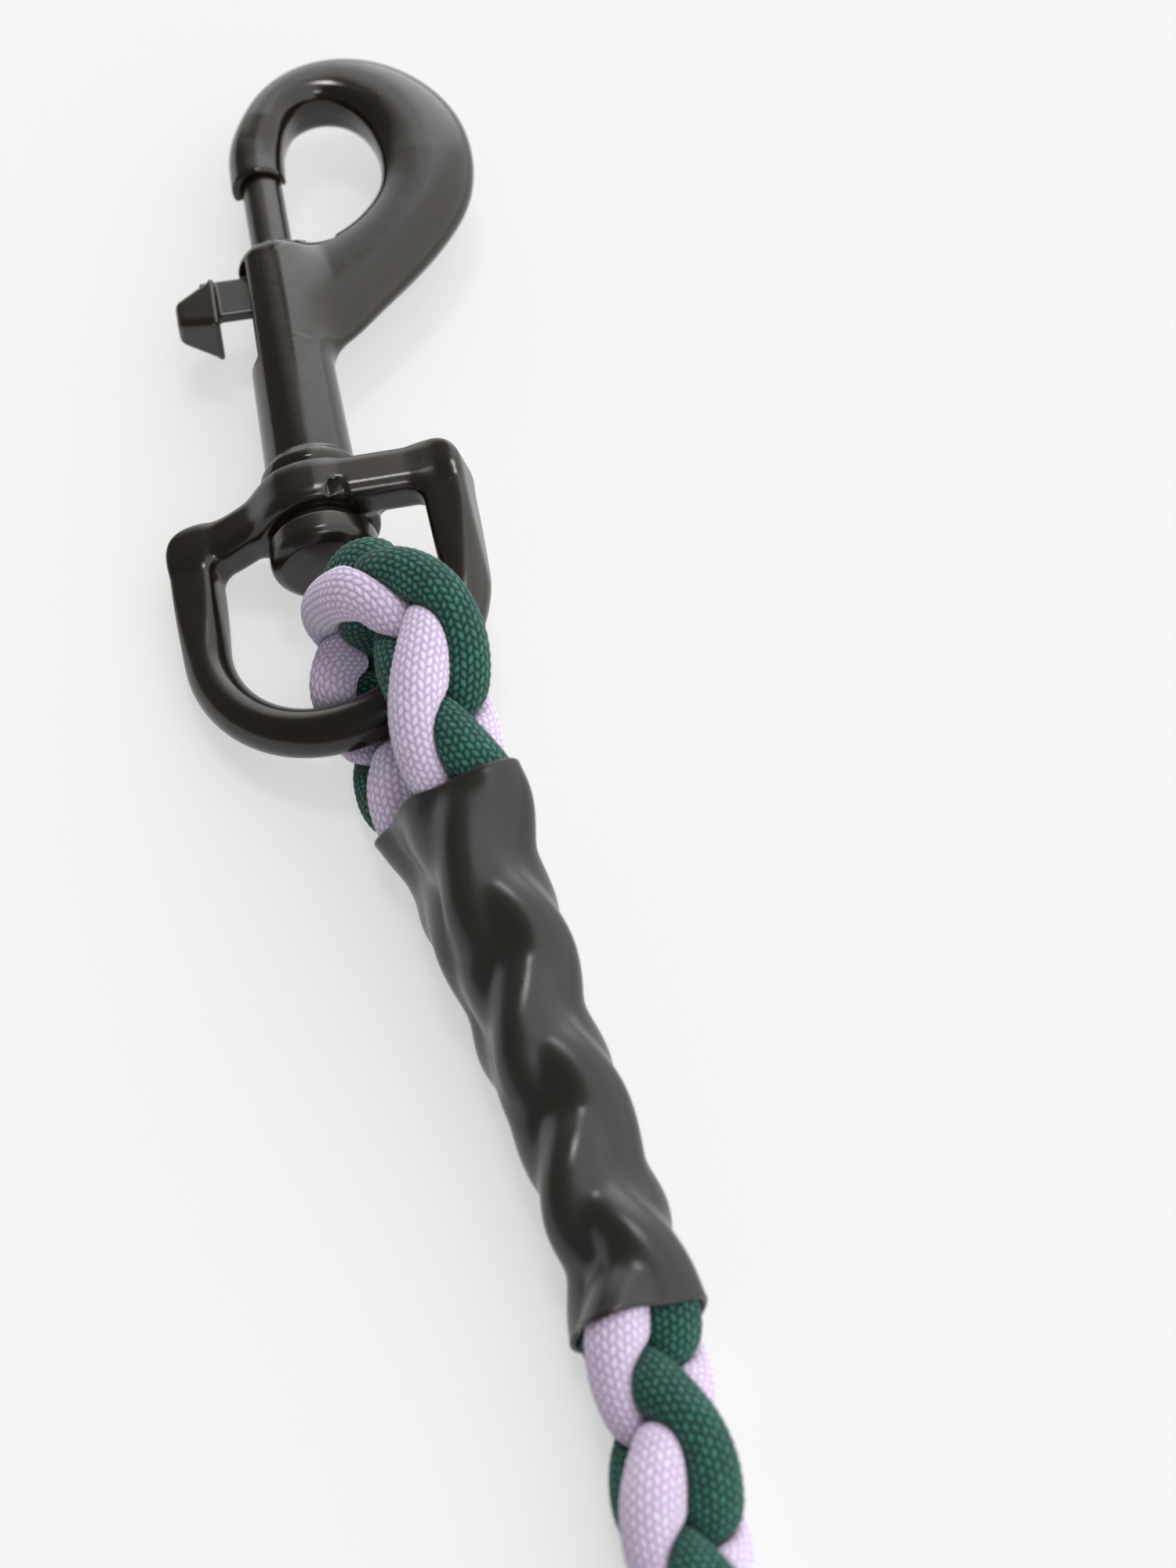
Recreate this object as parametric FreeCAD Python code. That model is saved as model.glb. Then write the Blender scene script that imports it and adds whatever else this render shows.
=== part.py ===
import FreeCAD, Part
import math
import os

# Lead rope: a bolt snap with a swivel D-eye, a rope eye whose neck is in a shrink sleeve,
# and a rope of four cords laid in a flat coil with a sleeved end.
# Millimetres. Sizes are measured from the middle of the eye's boss: +Y runs along the
# swivel axis towards the hook, +X across towards the hook's bulge, +Z up.
# The files are written with the origin moved to ORIGIN.

V = FreeCAD.Vector

ORIGIN = V(12.0, 62.0, 0.0)  # middle of the hook's opening
RUNNING_GAP = 0.08           # radial gap round the bolt and round the rivet shank


# ------------------------------------------------------------ shared helpers
def cylinder_y(radius, y0, y1, x=0.0):
    return Part.makeCylinder(radius, y1 - y0, V(x, y0, 0), V(0, 1, 0))


def box(x0, x1, y0, y1, half_z):
    """Box centred on z = 0."""
    return Part.makeBox(x1 - x0, y1 - y0, 2 * half_z, V(x0, y0, -half_z))


def revolve_y(outline):
    """Solid of revolution about Y from (radius, y) points."""
    points = [V(radius, y, 0) for radius, y in outline]
    wire = Part.makePolygon(points + [points[0]])
    return Part.Face(wire).revolve(V(0, 0, 0), V(0, 1, 0), 360)


def spline(points, closed=False):
    curve = Part.BSplineCurve()
    curve.interpolate(points, closed)
    return curve


def closed_wire(points):
    return Part.Wire([spline(points, True).toShape()])


def circle_wire(radius, centre, normal):
    return Part.Wire([Part.makeCircle(radius, centre, normal)])


def squared_circle(count, power_plus, power_minus=None):
    """Points of a unit superellipse; power 2 is a circle, higher is squarer.
    power_minus, if given, shapes the half where the first coordinate is negative."""
    points = []
    for k in range(count):
        angle = 2 * math.pi * k / count
        c, s = math.cos(angle), math.sin(angle)
        power = power_plus if c > 0 or power_minus is None else power_minus
        reach = (abs(c) ** power + abs(s) ** power) ** (-1 / power)
        points.append((c * reach, s * reach))
    return points


def biggest(shape):
    return max(shape.Solids, key=lambda solid: solid.Volume)


def save(name, shape):
    if shape.ShapeType != "Solid" and len(shape.Solids) == 1:
        shape = shape.Solids[0]
    shape.translated(-ORIGIN).exportStep("parts/%s.step" % name)


# -------------------------------------------- bolt, spring and thumb button
BOLT_R = 2.5
BOLT_Y0 = 31.5
BOLT_Y1 = 64.3
BOLT_TRAVEL = 10.5
BOLT_LOW_CHAMFER = 0.3
BOLT_TIP_CHAMFER = 0.7

# Stem of the thumb button, let into a mortise in the bolt
STEM_X1 = 0.5
STEM_LEN_Y = 6.4
STEM_THICK_Z = 1.7
STEM_Y_MID = 41.3
STEM_Y0 = STEM_Y_MID - STEM_LEN_Y / 2
STEM_Y1 = STEM_Y_MID + STEM_LEN_Y / 2
STEM_OVERLAP = 1.0        # how far the stem runs into the knob
MORTISE_X0 = -3.4
MORTISE_X1 = STEM_X1 + 0.1

# Knob on the -X side; its sections are (size in y, size in z)
KNOB_Y_MID = 39.7
KNOB_Z_MID = -1.0
KNOB_X0 = -7.9
KNOB_X1 = -12.6
KNOB_BASE = (7.8, 6.6)
KNOB_TIP = (4.6, 4.4)
KNOB_LIP = 0.9            # straight part before the taper
KNOB_FILLET = 0.7

# Swivel rivet
RIVET_SHANK_R = 3.2
RIVET_HEAD_R = 7.35
RIVET_HEAD_Y0 = -9.6
RIVET_HEAD_Y1 = -3.75
RIVET_HEAD_CHAMFER = 0.9
RIVET_NECK_R = 6.3
RIVET_RIM_Y = -5.0        # top of the head's full radius
RIVET_NECK_Y = -4.5
RIVET_Y1 = 15.6
RIVET_END_CHAMFER = 0.4

# Spring between the rivet and the bolt
SPRING_R = 1.95
SPRING_WIRE_R = 0.3
SPRING_TURNS = 8
SPRING_END_GAP = 0.1


def make_bolt():
    body = revolve_y([
        (0, BOLT_Y0), (BOLT_R - BOLT_LOW_CHAMFER, BOLT_Y0),
        (BOLT_R, BOLT_Y0 + BOLT_LOW_CHAMFER), (BOLT_R, BOLT_Y1 - BOLT_TIP_CHAMFER),
        (BOLT_R - BOLT_TIP_CHAMFER, BOLT_Y1), (0, BOLT_Y1)])
    return body.cut(box(MORTISE_X0, MORTISE_X1, STEM_Y0, STEM_Y1, STEM_THICK_Z / 2))


def knob_section(x, size):
    half_y, half_z = size[0] / 2, size[1] / 2
    corners = [V(x, KNOB_Y_MID + j * half_y, KNOB_Z_MID + k * half_z)
               for j, k in ((-1, -1), (1, -1), (1, 1), (-1, 1))]
    return Part.makePolygon(corners + [corners[0]])


def make_thumb_button():
    taper_x = KNOB_X0 - KNOB_LIP
    lip = Part.Face(knob_section(KNOB_X0, KNOB_BASE)).extrude(V(-KNOB_LIP, 0, 0))
    sections = [knob_section(taper_x, KNOB_BASE), knob_section(KNOB_X1, KNOB_TIP)]
    knob = lip.fuse(Part.makeLoft(sections, True, True)).removeSplitter()
    # Guards the fillet of all edges at once: if it fails the knob stays sharp
    try:
        knob = knob.makeFillet(KNOB_FILLET, knob.Edges)
    except Exception:
        pass
    stem = box(KNOB_X0 - STEM_OVERLAP, STEM_X1, STEM_Y0, STEM_Y1, STEM_THICK_Z / 2)
    return biggest(knob.fuse(stem).removeSplitter())


def make_spring():
    y0 = RIVET_Y1 + SPRING_END_GAP + SPRING_WIRE_R
    y1 = BOLT_Y0 - SPRING_END_GAP - SPRING_WIRE_R
    helix = Part.makeHelix((y1 - y0) / SPRING_TURNS, y1 - y0, SPRING_R)
    section = circle_wire(SPRING_WIRE_R, V(SPRING_R, 0, 0), V(0, 1, 0))
    spring = Part.Wire(helix.Edges).makePipeShell([section], True, True)
    spring.rotate(V(0, 0, 0), V(1, 0, 0), -90)
    spring.translate(V(0, y0, 0))
    return spring


def make_rivet():
    return revolve_y([
        (0, RIVET_HEAD_Y0), (RIVET_HEAD_R - RIVET_HEAD_CHAMFER, RIVET_HEAD_Y0),
        (RIVET_HEAD_R, RIVET_HEAD_Y0 + RIVET_HEAD_CHAMFER), (RIVET_HEAD_R, RIVET_RIM_Y),
        (RIVET_NECK_R, RIVET_NECK_Y), (RIVET_NECK_R, RIVET_HEAD_Y1),
        (RIVET_SHANK_R, RIVET_HEAD_Y1), (RIVET_SHANK_R, RIVET_Y1 - RIVET_END_CHAMFER),
        (RIVET_SHANK_R - RIVET_END_CHAMFER, RIVET_Y1), (0, RIVET_Y1)])


# ----------------------------------------------------------------- hook body
# Outlines as (radius, y): flange and tapering barrel, then the nose at the hook's tip
BARREL_OUTLINE = [
    (0, 3.3), (6.5, 3.3), (7.6, 4.3), (7.6, 5.4), (6.4, 6.6),
    (6.15, 6.9), (5.45, 45.4), (4.85, 47.0), (3.75, 48.0), (0, 48.0),
]
NOSE_OUTLINE = [(0, 62.2), (4.0, 62.2), (4.4, 62.6), (4.4, 64.0), (3.5, 67.5), (0, 68.0)]

# Sections from the nose round to the barrel: outer x, y, inner x, y,
# half thickness, squareness of the outer side, squareness of the inner side
HOOK = [
    (-4.5, 62.6, 4.5, 62.6, 4.5, 2.0, 2.0),
    (-4.4, 66.0, 4.3, 65.3, 4.5, 2.0, 2.1),
    (-3.9, 70.6, 4.5, 68.6, 4.5, 2.0, 2.4),
    (-1.9, 76.4, 5.5, 72.6, 4.5, 2.0, 2.8),
    (3.1, 83.6, 7.8, 75.6, 4.4, 2.0, 3.2),
    (10.7, 87.5, 11.2, 76.8, 4.3, 2.1, 3.4),
    (19.4, 86.4, 14.8, 75.4, 4.3, 2.2, 3.6),
    (26.6, 80.7, 17.5, 71.9, 4.2, 2.2, 3.6),
    (30.9, 71.5, 18.9, 67.2, 4.2, 2.2, 3.6),
    (31.4, 62.6, 19.0, 61.9, 4.2, 2.2, 3.6),
    (29.4, 55.1, 17.8, 57.2, 4.1, 2.1, 3.6),
    (25.1, 48.0, 15.0, 53.2, 4.0, 2.0, 3.4),
    (19.7, 41.7, 11.5, 50.2, 3.9, 2.0, 3.2),
    (14.1, 36.0, 7.7, 48.4, 3.8, 2.0, 2.8),
    (8.4, 30.6, 3.6, 47.6, 3.7, 2.0, 2.4),
    (3.0, 27.5, 0.0, 46.6, 3.6, 2.0, 2.2),
]
WEB_START = 13            # section where the bend ends and the web to the barrel starts
HOOK_RING_POINTS = 28

BORE_OVERLAP = 0.2        # bolt bore starts this far inside the rivet hole
SOCKET_Y1 = 64.9          # end of the bolt bore, in the nose

# Slot for the stem in the -X side of the barrel, and the wider recess outside it
SLOT_X0 = -12.0
SLOT_HALF_Z = 1.0
SLOT_END_GAP = 0.2
RECESS_X1 = -3.5
RECESS_HALF_Z = 3.2
RECESS_MARGIN_Y = 0.6


def hook_ring(section):
    outer_x, outer_y, inner_x, inner_y, half, power_out, power_in = section
    x, y = (outer_x + inner_x) / 2, (outer_y + inner_y) / 2
    return closed_wire([
        V(x + u * (outer_x - x), y + u * (outer_y - y), half * v)
        for u, v in squared_circle(HOOK_RING_POINTS, power_out, power_in)])


def make_hook_body():
    rings = [hook_ring(section) for section in HOOK]
    bend = Part.makeLoft(rings[:WEB_START + 1], True, False)
    web = Part.makeLoft(rings[WEB_START:], True, False)
    body = bend.fuse([web, revolve_y(BARREL_OUTLINE), revolve_y(NOSE_OUTLINE)])
    body = body.cut(cylinder_y(BOLT_R + RUNNING_GAP, RIVET_Y1 - BORE_OVERLAP, SOCKET_Y1))
    body = body.cut(cylinder_y(RIVET_SHANK_R, 0, RIVET_Y1))
    y0 = STEM_Y0 - BOLT_TRAVEL - SLOT_END_GAP
    y1 = STEM_Y1 + SLOT_END_GAP
    body = body.cut(box(SLOT_X0, 0, y0, y1, SLOT_HALF_Z))
    body = body.cut(box(SLOT_X0, RECESS_X1, y0 - RECESS_MARGIN_Y, y1 + RECESS_MARGIN_Y,
                        RECESS_HALF_Z))
    return biggest(body.removeSplitter())


# ---------------------------------------------------------------- swivel eye
EYE_TILT = 18.0           # degrees about the swivel axis
EYE_BAR_R = 3.19
EYE_HALF_W = 18.285       # swivel axis to the centre line of a leg
EYE_LEG_Y0 = -16.6        # where the legs meet the bow
EYE_LEG_Y1 = -0.2
BRIDGE_Y0 = -3.6
BRIDGE_Y1 = 3.1
BRIDGE_HALF_Z = 3.3
BRIDGE_SIDE_MARGIN = 0.1
BRIDGE_CORNER_R = 3.2
BRIDGE_EDGE_R = 1.6
BOSS_R = 8.15
BOSS_Y0 = -3.5
BOSS_Y1 = BRIDGE_Y1
BOSS_CHAMFER = 0.8
EYE_BORE_HALF_LEN = 12.0


def make_bridge():
    half_x = EYE_HALF_W + EYE_BAR_R + BRIDGE_SIDE_MARGIN
    bridge = box(-half_x, half_x, BRIDGE_Y0, BRIDGE_Y1, BRIDGE_HALF_Z)
    # The two upright corners on the +Y side, then all edges round the flat faces
    upright = [e for e in bridge.Edges if abs(e.Vertexes[0].Z - e.Vertexes[1].Z) > 1]
    bridge = bridge.makeFillet(BRIDGE_CORNER_R, [e for e in upright if e.Vertexes[0].Y > 0])
    rims = [e for e in bridge.Edges if abs(abs(e.CenterOfMass.z) - BRIDGE_HALF_Z) < 1e-3]
    return bridge.makeFillet(BRIDGE_EDGE_R, rims)


def make_swivel_eye():
    section = Part.Face(circle_wire(EYE_BAR_R, V(-EYE_HALF_W, EYE_LEG_Y0, 0), V(0, 1, 0)))
    bow = section.revolve(V(0, EYE_LEG_Y0, 0), V(0, 0, 1), 180)
    bar = bow.fuse([cylinder_y(EYE_BAR_R, EYE_LEG_Y0, EYE_LEG_Y1, x)
                    for x in (-EYE_HALF_W, EYE_HALF_W)])
    boss = revolve_y([
        (0, BOSS_Y0), (BOSS_R - BOSS_CHAMFER, BOSS_Y0), (BOSS_R, BOSS_Y0 + BOSS_CHAMFER),
        (BOSS_R, BOSS_Y1 - BOSS_CHAMFER), (BOSS_R - BOSS_CHAMFER, BOSS_Y1), (0, BOSS_Y1)])
    bore = cylinder_y(RIVET_SHANK_R + RUNNING_GAP, -EYE_BORE_HALF_LEN, EYE_BORE_HALF_LEN)
    eye = bar.fuse([make_bridge(), boss]).cut(bore)
    eye = biggest(eye.removeSplitter())
    eye.rotate(V(0, 0, 0), V(0, 1, 0), -EYE_TILT)
    return eye


# ---------------------------------------------------------------------- rope
# Four cords, each a sheath over a core, thinner in the eye than in the coil.
# Offsets are from the rope's centre line to a cord's, in each direction.
CORE_GAP = 0.1
CORD_R = 3.2
CORD_OFFSET = 3.3
SHEATH_WALL = 0.9
EYE_CORD_R = 1.8
EYE_CORD_OFFSET = 1.88
EYE_SHEATH_WALL = 0.6

# Name, side across the rope, side in the other direction of its section
CORDS = [
    ("cord_lavender_1", -1, 1),
    ("cord_lavender_2", 1, -1),
    ("cord_green_1", 1, 1),
    ("cord_green_2", -1, -1),
]

# Centre line from the split between eye and coil to the bight, and on to the tail
LEG_UP = [
    (19.9, -121.8, -3.0), (19.9, -115.0, -3.0), (18.6, -105.0, -2.4), (16.8, -94.0, -0.8),
    (15.1, -83.0, 1.8), (13.7, -72.0, 4.8), (12.4, -61.0, 7.8), (11.2, -51.5, 10.4),
    (10.3, -42.0, 12.6), (9.8, -34.0, 13.2),
]
LEG_DOWN = [
    (5.5, -32.0, -6.25), (6.1, -37.0, -6.25), (7.3, -43.0, -5.9), (8.8, -50.0, -5.2),
    (10.8, -60.0, -5.0), (12.5, -70.0, -5.0), (13.8, -79.0, -5.1),
]

# Bight: half turn of the rope over the bow of the swivel eye
BIGHT_Y = -26.0
BIGHT_Z = 3.5
BIGHT_R = 9.75
BIGHT_X_MEAN = 7.5
BIGHT_X_SWING = 2.3
BIGHT_STEPS = 8

# Coil: a straight run, then half circles on the table
TABLE_Z = -10.0
ROPE_Z = TABLE_Z + 7.0
COIL_START_Y = -126.2
COIL_X0 = 19.9
COIL_Y = -238.0
COIL_R0 = 92.0
COIL_PITCH = 14.7
COIL_HALF_TURNS = 10


def eye_line():
    """Centre line from the split, round the bight, to the end of the tail."""
    bight = []
    for i in range(BIGHT_STEPS + 1):
        angle = math.radians(90 - 180 / BIGHT_STEPS * i)
        c, s = math.cos(angle), math.sin(angle)
        bight.append((BIGHT_X_MEAN + BIGHT_X_SWING * s, BIGHT_Y + BIGHT_R * c,
                      BIGHT_Z + BIGHT_R * s))
    return [V(*point) for point in LEG_UP + bight + LEG_DOWN]


def offset_line(points, across, normal_shift):
    """Moves a line by across on its side nearest to +X, and by normal_shift along
    tangent x side, which points down at the split."""
    line = []
    for i, point in enumerate(points):
        before = points[max(i - 1, 0)]
        after = points[min(i + 1, len(points) - 1)]
        tangent = (after - before).normalize()
        side = (V(1, 0, 0) - tangent * tangent.x).normalize()
        line.append(point + side * across + tangent.cross(side) * normal_shift)
    return line


def eye_pipe(points, radius, inner=0.0):
    """Round solid along a smooth line through points, hollow if inner > 0."""
    curve = spline(points)
    path = Part.Wire([curve.toShape()])
    start = curve.value(curve.FirstParameter)
    tangent = curve.tangent(curve.FirstParameter)[0]

    def rod(rod_radius):
        sweep = Part.BRepOffsetAPI.MakePipeShell(path)
        sweep.setBiNormalMode(V(1, 0, 0))
        sweep.add(circle_wire(rod_radius, start, tangent))
        sweep.build()
        sweep.makeSolid()
        return sweep.shape()

    body = rod(radius)
    return body.cut(rod(inner)) if inner > 0 else body


def ring_face(radius, inner, centre, normal):
    """Disc, or annulus if inner > 0."""
    face = Part.Face(circle_wire(radius, centre, normal))
    if inner > 0:
        face = face.cut(Part.Face(circle_wire(inner, centre, normal)))
    return face.Faces[0]


def coil_turns():
    """(side of the centre it starts on, radius, centre x) of each half circle."""
    turns = []
    x, side = COIL_X0, 1
    for k in range(COIL_HALF_TURNS):
        radius = COIL_R0 - COIL_PITCH / 2 * k
        centre_x = x - side * radius
        turns.append((side, radius, centre_x))
        x = centre_x - side * radius
        side = -side
    return turns


def coil_pipe(out, up, radius, inner=0.0):
    """Round solid along the coil, moved outwards and up from its centre line."""
    z = ROPE_Z + up
    start = ring_face(radius, inner, V(COIL_X0 + out, COIL_START_Y, z), V(0, -1, 0))
    pieces = [start.extrude(V(0, COIL_Y - COIL_START_Y, 0))]
    for side, turn_radius, centre_x in coil_turns():
        x = centre_x + side * (turn_radius + out)
        face = ring_face(radius, inner, V(x, COIL_Y, z), V(0, 1, 0))
        pieces.append(face.revolve(V(centre_x, COIL_Y, 0), V(0, 0, 1), -180))
    return pieces[0].fuse(pieces[1:])


def save_cord(name, i, j):
    line = offset_line(eye_line(), i * EYE_CORD_OFFSET, j * EYE_CORD_OFFSET)
    bore = EYE_CORD_R - EYE_SHEATH_WALL
    save(name + "_eye_sheath", eye_pipe(line, EYE_CORD_R, bore))
    save(name + "_eye_core", eye_pipe(line, bore - CORE_GAP))
    out, up = i * CORD_OFFSET, j * CORD_OFFSET
    bore = CORD_R - SHEATH_WALL
    save(name + "_sheath", coil_pipe(out, up, CORD_R, bore))
    save(name + "_core", coil_pipe(out, up, bore - CORE_GAP))


# ------------------------------------------------------------------- sleeves
# Shrink sleeve from the mouth to the lower end: centre x, y, z, half width, half height
SLEEVE = [
    (10.6, -51.5, 3.1, 9.1, 12.9),
    (12.2, -61.0, 2.1, 8.6, 11.9),
    (13.7, -72.0, 0.9, 8.3, 10.7),
    (15.4, -84.0, -0.6, 8.3, 9.2),
    (17.4, -96.0, -2.2, 8.1, 7.8),
    (19.2, -107.5, -2.7, 7.3, 7.3),
    (19.9, -118.6, -3.0, 7.1, 7.0),
]
SLEEVE_WALL = 0.8
SLEEVE_SQUARENESS = 4
SLEEVE_RING_POINTS = 24

END_SLEEVE_OUT = 7.35     # half widths, outside and inside
END_SLEEVE_IN = 6.75
END_SLEEVE_LIFT = 0.3     # outside section above the rope's centre line
END_SLEEVE_LEN = 34.0
END_SLEEVE_SQUARENESS = 6


def sleeve_ring(i, shrink):
    x, y, z, half_w, half_h = SLEEVE[i]
    before = V(*SLEEVE[max(i - 1, 0)][:3])
    after = V(*SLEEVE[min(i + 1, len(SLEEVE) - 1)][:3])
    tangent = (after - before).normalize()
    side = tangent.cross(V(0, 0, 1)).normalize()
    up = side.cross(tangent)
    return closed_wire([
        V(x, y, z) + side * ((half_w - shrink) * u) + up * ((half_h - shrink) * v)
        for u, v in squared_circle(SLEEVE_RING_POINTS, SLEEVE_SQUARENESS)])


def make_sleeve():
    outer, inner = [
        Part.makeLoft([sleeve_ring(i, shrink) for i in range(len(SLEEVE))], True, False)
        for shrink in (0.0, SLEEVE_WALL)]
    return outer.cut(inner)


def end_sleeve_face(half, x, z):
    return Part.Face(closed_wire([
        V(x + half * u, COIL_Y, z + half * v)
        for u, v in squared_circle(SLEEVE_RING_POINTS, END_SLEEVE_SQUARENESS)]))


def make_end_sleeve():
    """Sleeve over the last END_SLEEVE_LEN of the coil, swept back from its end."""
    side, radius, centre_x = coil_turns()[-1]
    x = centre_x - side * radius
    face = end_sleeve_face(END_SLEEVE_OUT, x, ROPE_Z + END_SLEEVE_LIFT)
    face = face.cut(end_sleeve_face(END_SLEEVE_IN, x, ROPE_Z))
    angle = math.degrees(END_SLEEVE_LEN / radius)
    return face.Faces[0].revolve(V(centre_x, COIL_Y, 0), V(0, 0, 1), angle)


# --------------------------------------------------------------------- files
os.makedirs("parts", exist_ok=True)

save("hook_body", make_hook_body())
save("bolt", make_bolt())
save("thumb_button", make_thumb_button())
save("bolt_spring", make_spring())
save("swivel_eye", make_swivel_eye())
save("swivel_rivet", make_rivet())
for cord in CORDS:
    save_cord(*cord)
save("heat_shrink_sleeve", make_sleeve())
save("end_sleeve", make_end_sleeve())
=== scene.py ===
"""A snap hook on a swivel eye, with a four-cord rope looped through the eye.

The swivel's centre is the zero point and its axis is Y: the hook's nose points to +Y,
the rope leaves towards -Y and lies in a coil on the table, and +Z is up. Lengths are
millimetres from the swivel's centre until metres() turns them into metres from the
part's own origin.
"""
import bpy
import math
import numpy as np
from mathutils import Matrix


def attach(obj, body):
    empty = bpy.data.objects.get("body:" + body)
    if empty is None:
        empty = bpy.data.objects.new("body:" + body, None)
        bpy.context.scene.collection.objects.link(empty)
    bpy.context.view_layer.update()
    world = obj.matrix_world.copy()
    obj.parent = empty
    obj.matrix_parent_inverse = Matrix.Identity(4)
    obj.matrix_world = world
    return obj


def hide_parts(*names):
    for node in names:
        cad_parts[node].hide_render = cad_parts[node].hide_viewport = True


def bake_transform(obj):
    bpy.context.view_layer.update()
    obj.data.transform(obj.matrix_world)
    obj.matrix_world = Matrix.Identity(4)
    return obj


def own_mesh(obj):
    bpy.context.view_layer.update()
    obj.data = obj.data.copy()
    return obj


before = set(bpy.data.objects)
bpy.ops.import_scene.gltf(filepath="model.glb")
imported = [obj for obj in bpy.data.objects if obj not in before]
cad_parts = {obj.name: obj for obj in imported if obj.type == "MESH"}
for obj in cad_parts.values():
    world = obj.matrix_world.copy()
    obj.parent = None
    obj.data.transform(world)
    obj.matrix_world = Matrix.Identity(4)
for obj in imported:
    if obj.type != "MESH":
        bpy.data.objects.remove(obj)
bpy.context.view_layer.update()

import openvdb
from mathutils import Matrix

ORIGIN = np.array([12.0, 62.0, 0.0])
FLOOR = -10.0           # height of the table
SKIM = FLOOR + 0.02     # lowest any soft surface may lie

# ---------------------------------------------------------------- curves and numbers


def metres(points):
    return (np.asarray(points, float) - ORIGIN) / 1000.0


def unit(v):
    return v / np.maximum(np.linalg.norm(v, axis=-1, keepdims=True), 1e-12)


def ease(low, high, x):
    """0 below low, 1 above high, smooth between."""
    t = np.clip((x - low) / (high - low), 0, 1)
    return t * t * (3 - 2 * t)


def circle(count):
    """Evenly spaced angles of one full turn."""
    return 2 * np.pi * np.arange(count) / count


def spokes(angle, first, second):
    """Directions (station, angle, 3) in the planes spanned by first and second."""
    return (np.cos(angle)[None, :, None] * first[:, None]
            + np.sin(angle)[None, :, None] * second[:, None])


def run_length(points):
    """Distance along a line of points, at each point."""
    return np.concatenate([[0], np.cumsum(np.linalg.norm(np.diff(points, axis=0), axis=1))])


def spline(points, step):
    """Dense points along a natural cubic spline, about step apart."""
    points = np.asarray(points, float)
    at = run_length(points)
    count, gaps = len(points), np.diff(at)
    system = np.zeros((count, count))
    load = np.zeros(points.shape)
    system[0, 0] = system[-1, -1] = 1
    for i in range(1, count - 1):
        before, after = gaps[i - 1], gaps[i]
        system[i, i - 1:i + 2] = before, 2 * (before + after), after
        load[i] = 6 * ((points[i + 1] - points[i]) / after - (points[i] - points[i - 1]) / before)
    bend = np.linalg.solve(system, load)
    place = np.linspace(0, at[-1], int(at[-1] / step) + 1)
    k = np.clip(np.searchsorted(at, place, "right") - 1, 0, count - 2)
    gap = gaps[k][:, None]
    ahead, behind = (at[k + 1] - place)[:, None], (place - at[k])[:, None]
    return (bend[k] * ahead ** 3 + bend[k + 1] * behind ** 3) / (6 * gap) + \
        (points[k] / gap - bend[k] * gap / 6) * ahead + \
        (points[k + 1] / gap - bend[k + 1] * gap / 6) * behind


def resample(points, step):
    """The line at even steps, and the distance along it."""
    at = run_length(points)
    place = np.linspace(0, at[-1], int(round(at[-1] / step)) + 1)
    return np.stack([np.interp(place, at, column) for column in points.T], axis=1), place


def moving_average(rows, width):
    """Moving average along the first axis, ends held."""
    kernel = np.ones(width) / width
    pad = (width // 2, width - 1 - width // 2)
    return np.stack([np.convolve(np.pad(column, pad, "edge"), kernel, "valid")
                     for column in rows.T], axis=1)


def blur(grid, sigma_rows, sigma_columns):
    """Gaussian blur: row ends held, columns wrapping round."""
    def kernel(sigma):
        half = max(int(3 * sigma), 1)
        k = np.exp(-0.5 * (np.arange(-half, half + 1) / sigma) ** 2)
        return k / k.sum(), half
    weights, half = kernel(sigma_rows)
    padded = np.concatenate([np.repeat(grid[:1], half, 0), grid, np.repeat(grid[-1:], half, 0)])
    grid = sum(w * padded[j: j + len(grid)] for j, w in enumerate(weights))
    weights, half = kernel(sigma_columns)
    return sum(w * np.roll(grid, j - half, axis=1) for j, w in enumerate(weights))


def rows_at(rows, places):
    """Rows of an array interpolated at fractional row numbers."""
    k = np.clip(places.astype(int), 0, len(rows) - 2)
    f = (places - k)[:, None]
    return rows[k] * (1 - f) + rows[k + 1] * f


# ---------------------------------------------------------------------- mesh building
COLUMNS, ROW = 26, 1.0      # stitches round a cord, and length of one along it


def ring_quads(rows, count, closed):
    """Quads between rows of count points; closed joins the last row to the first."""
    i = np.arange(rows if closed else rows - 1)[:, None]
    this, following = i * count, (i + 1) % rows * count
    j = np.arange(count)[None, :]
    beside = (j + 1) % count
    return np.stack([this + j, this + beside, following + beside, following + j],
                    axis=-1).reshape(-1, 4)


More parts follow.
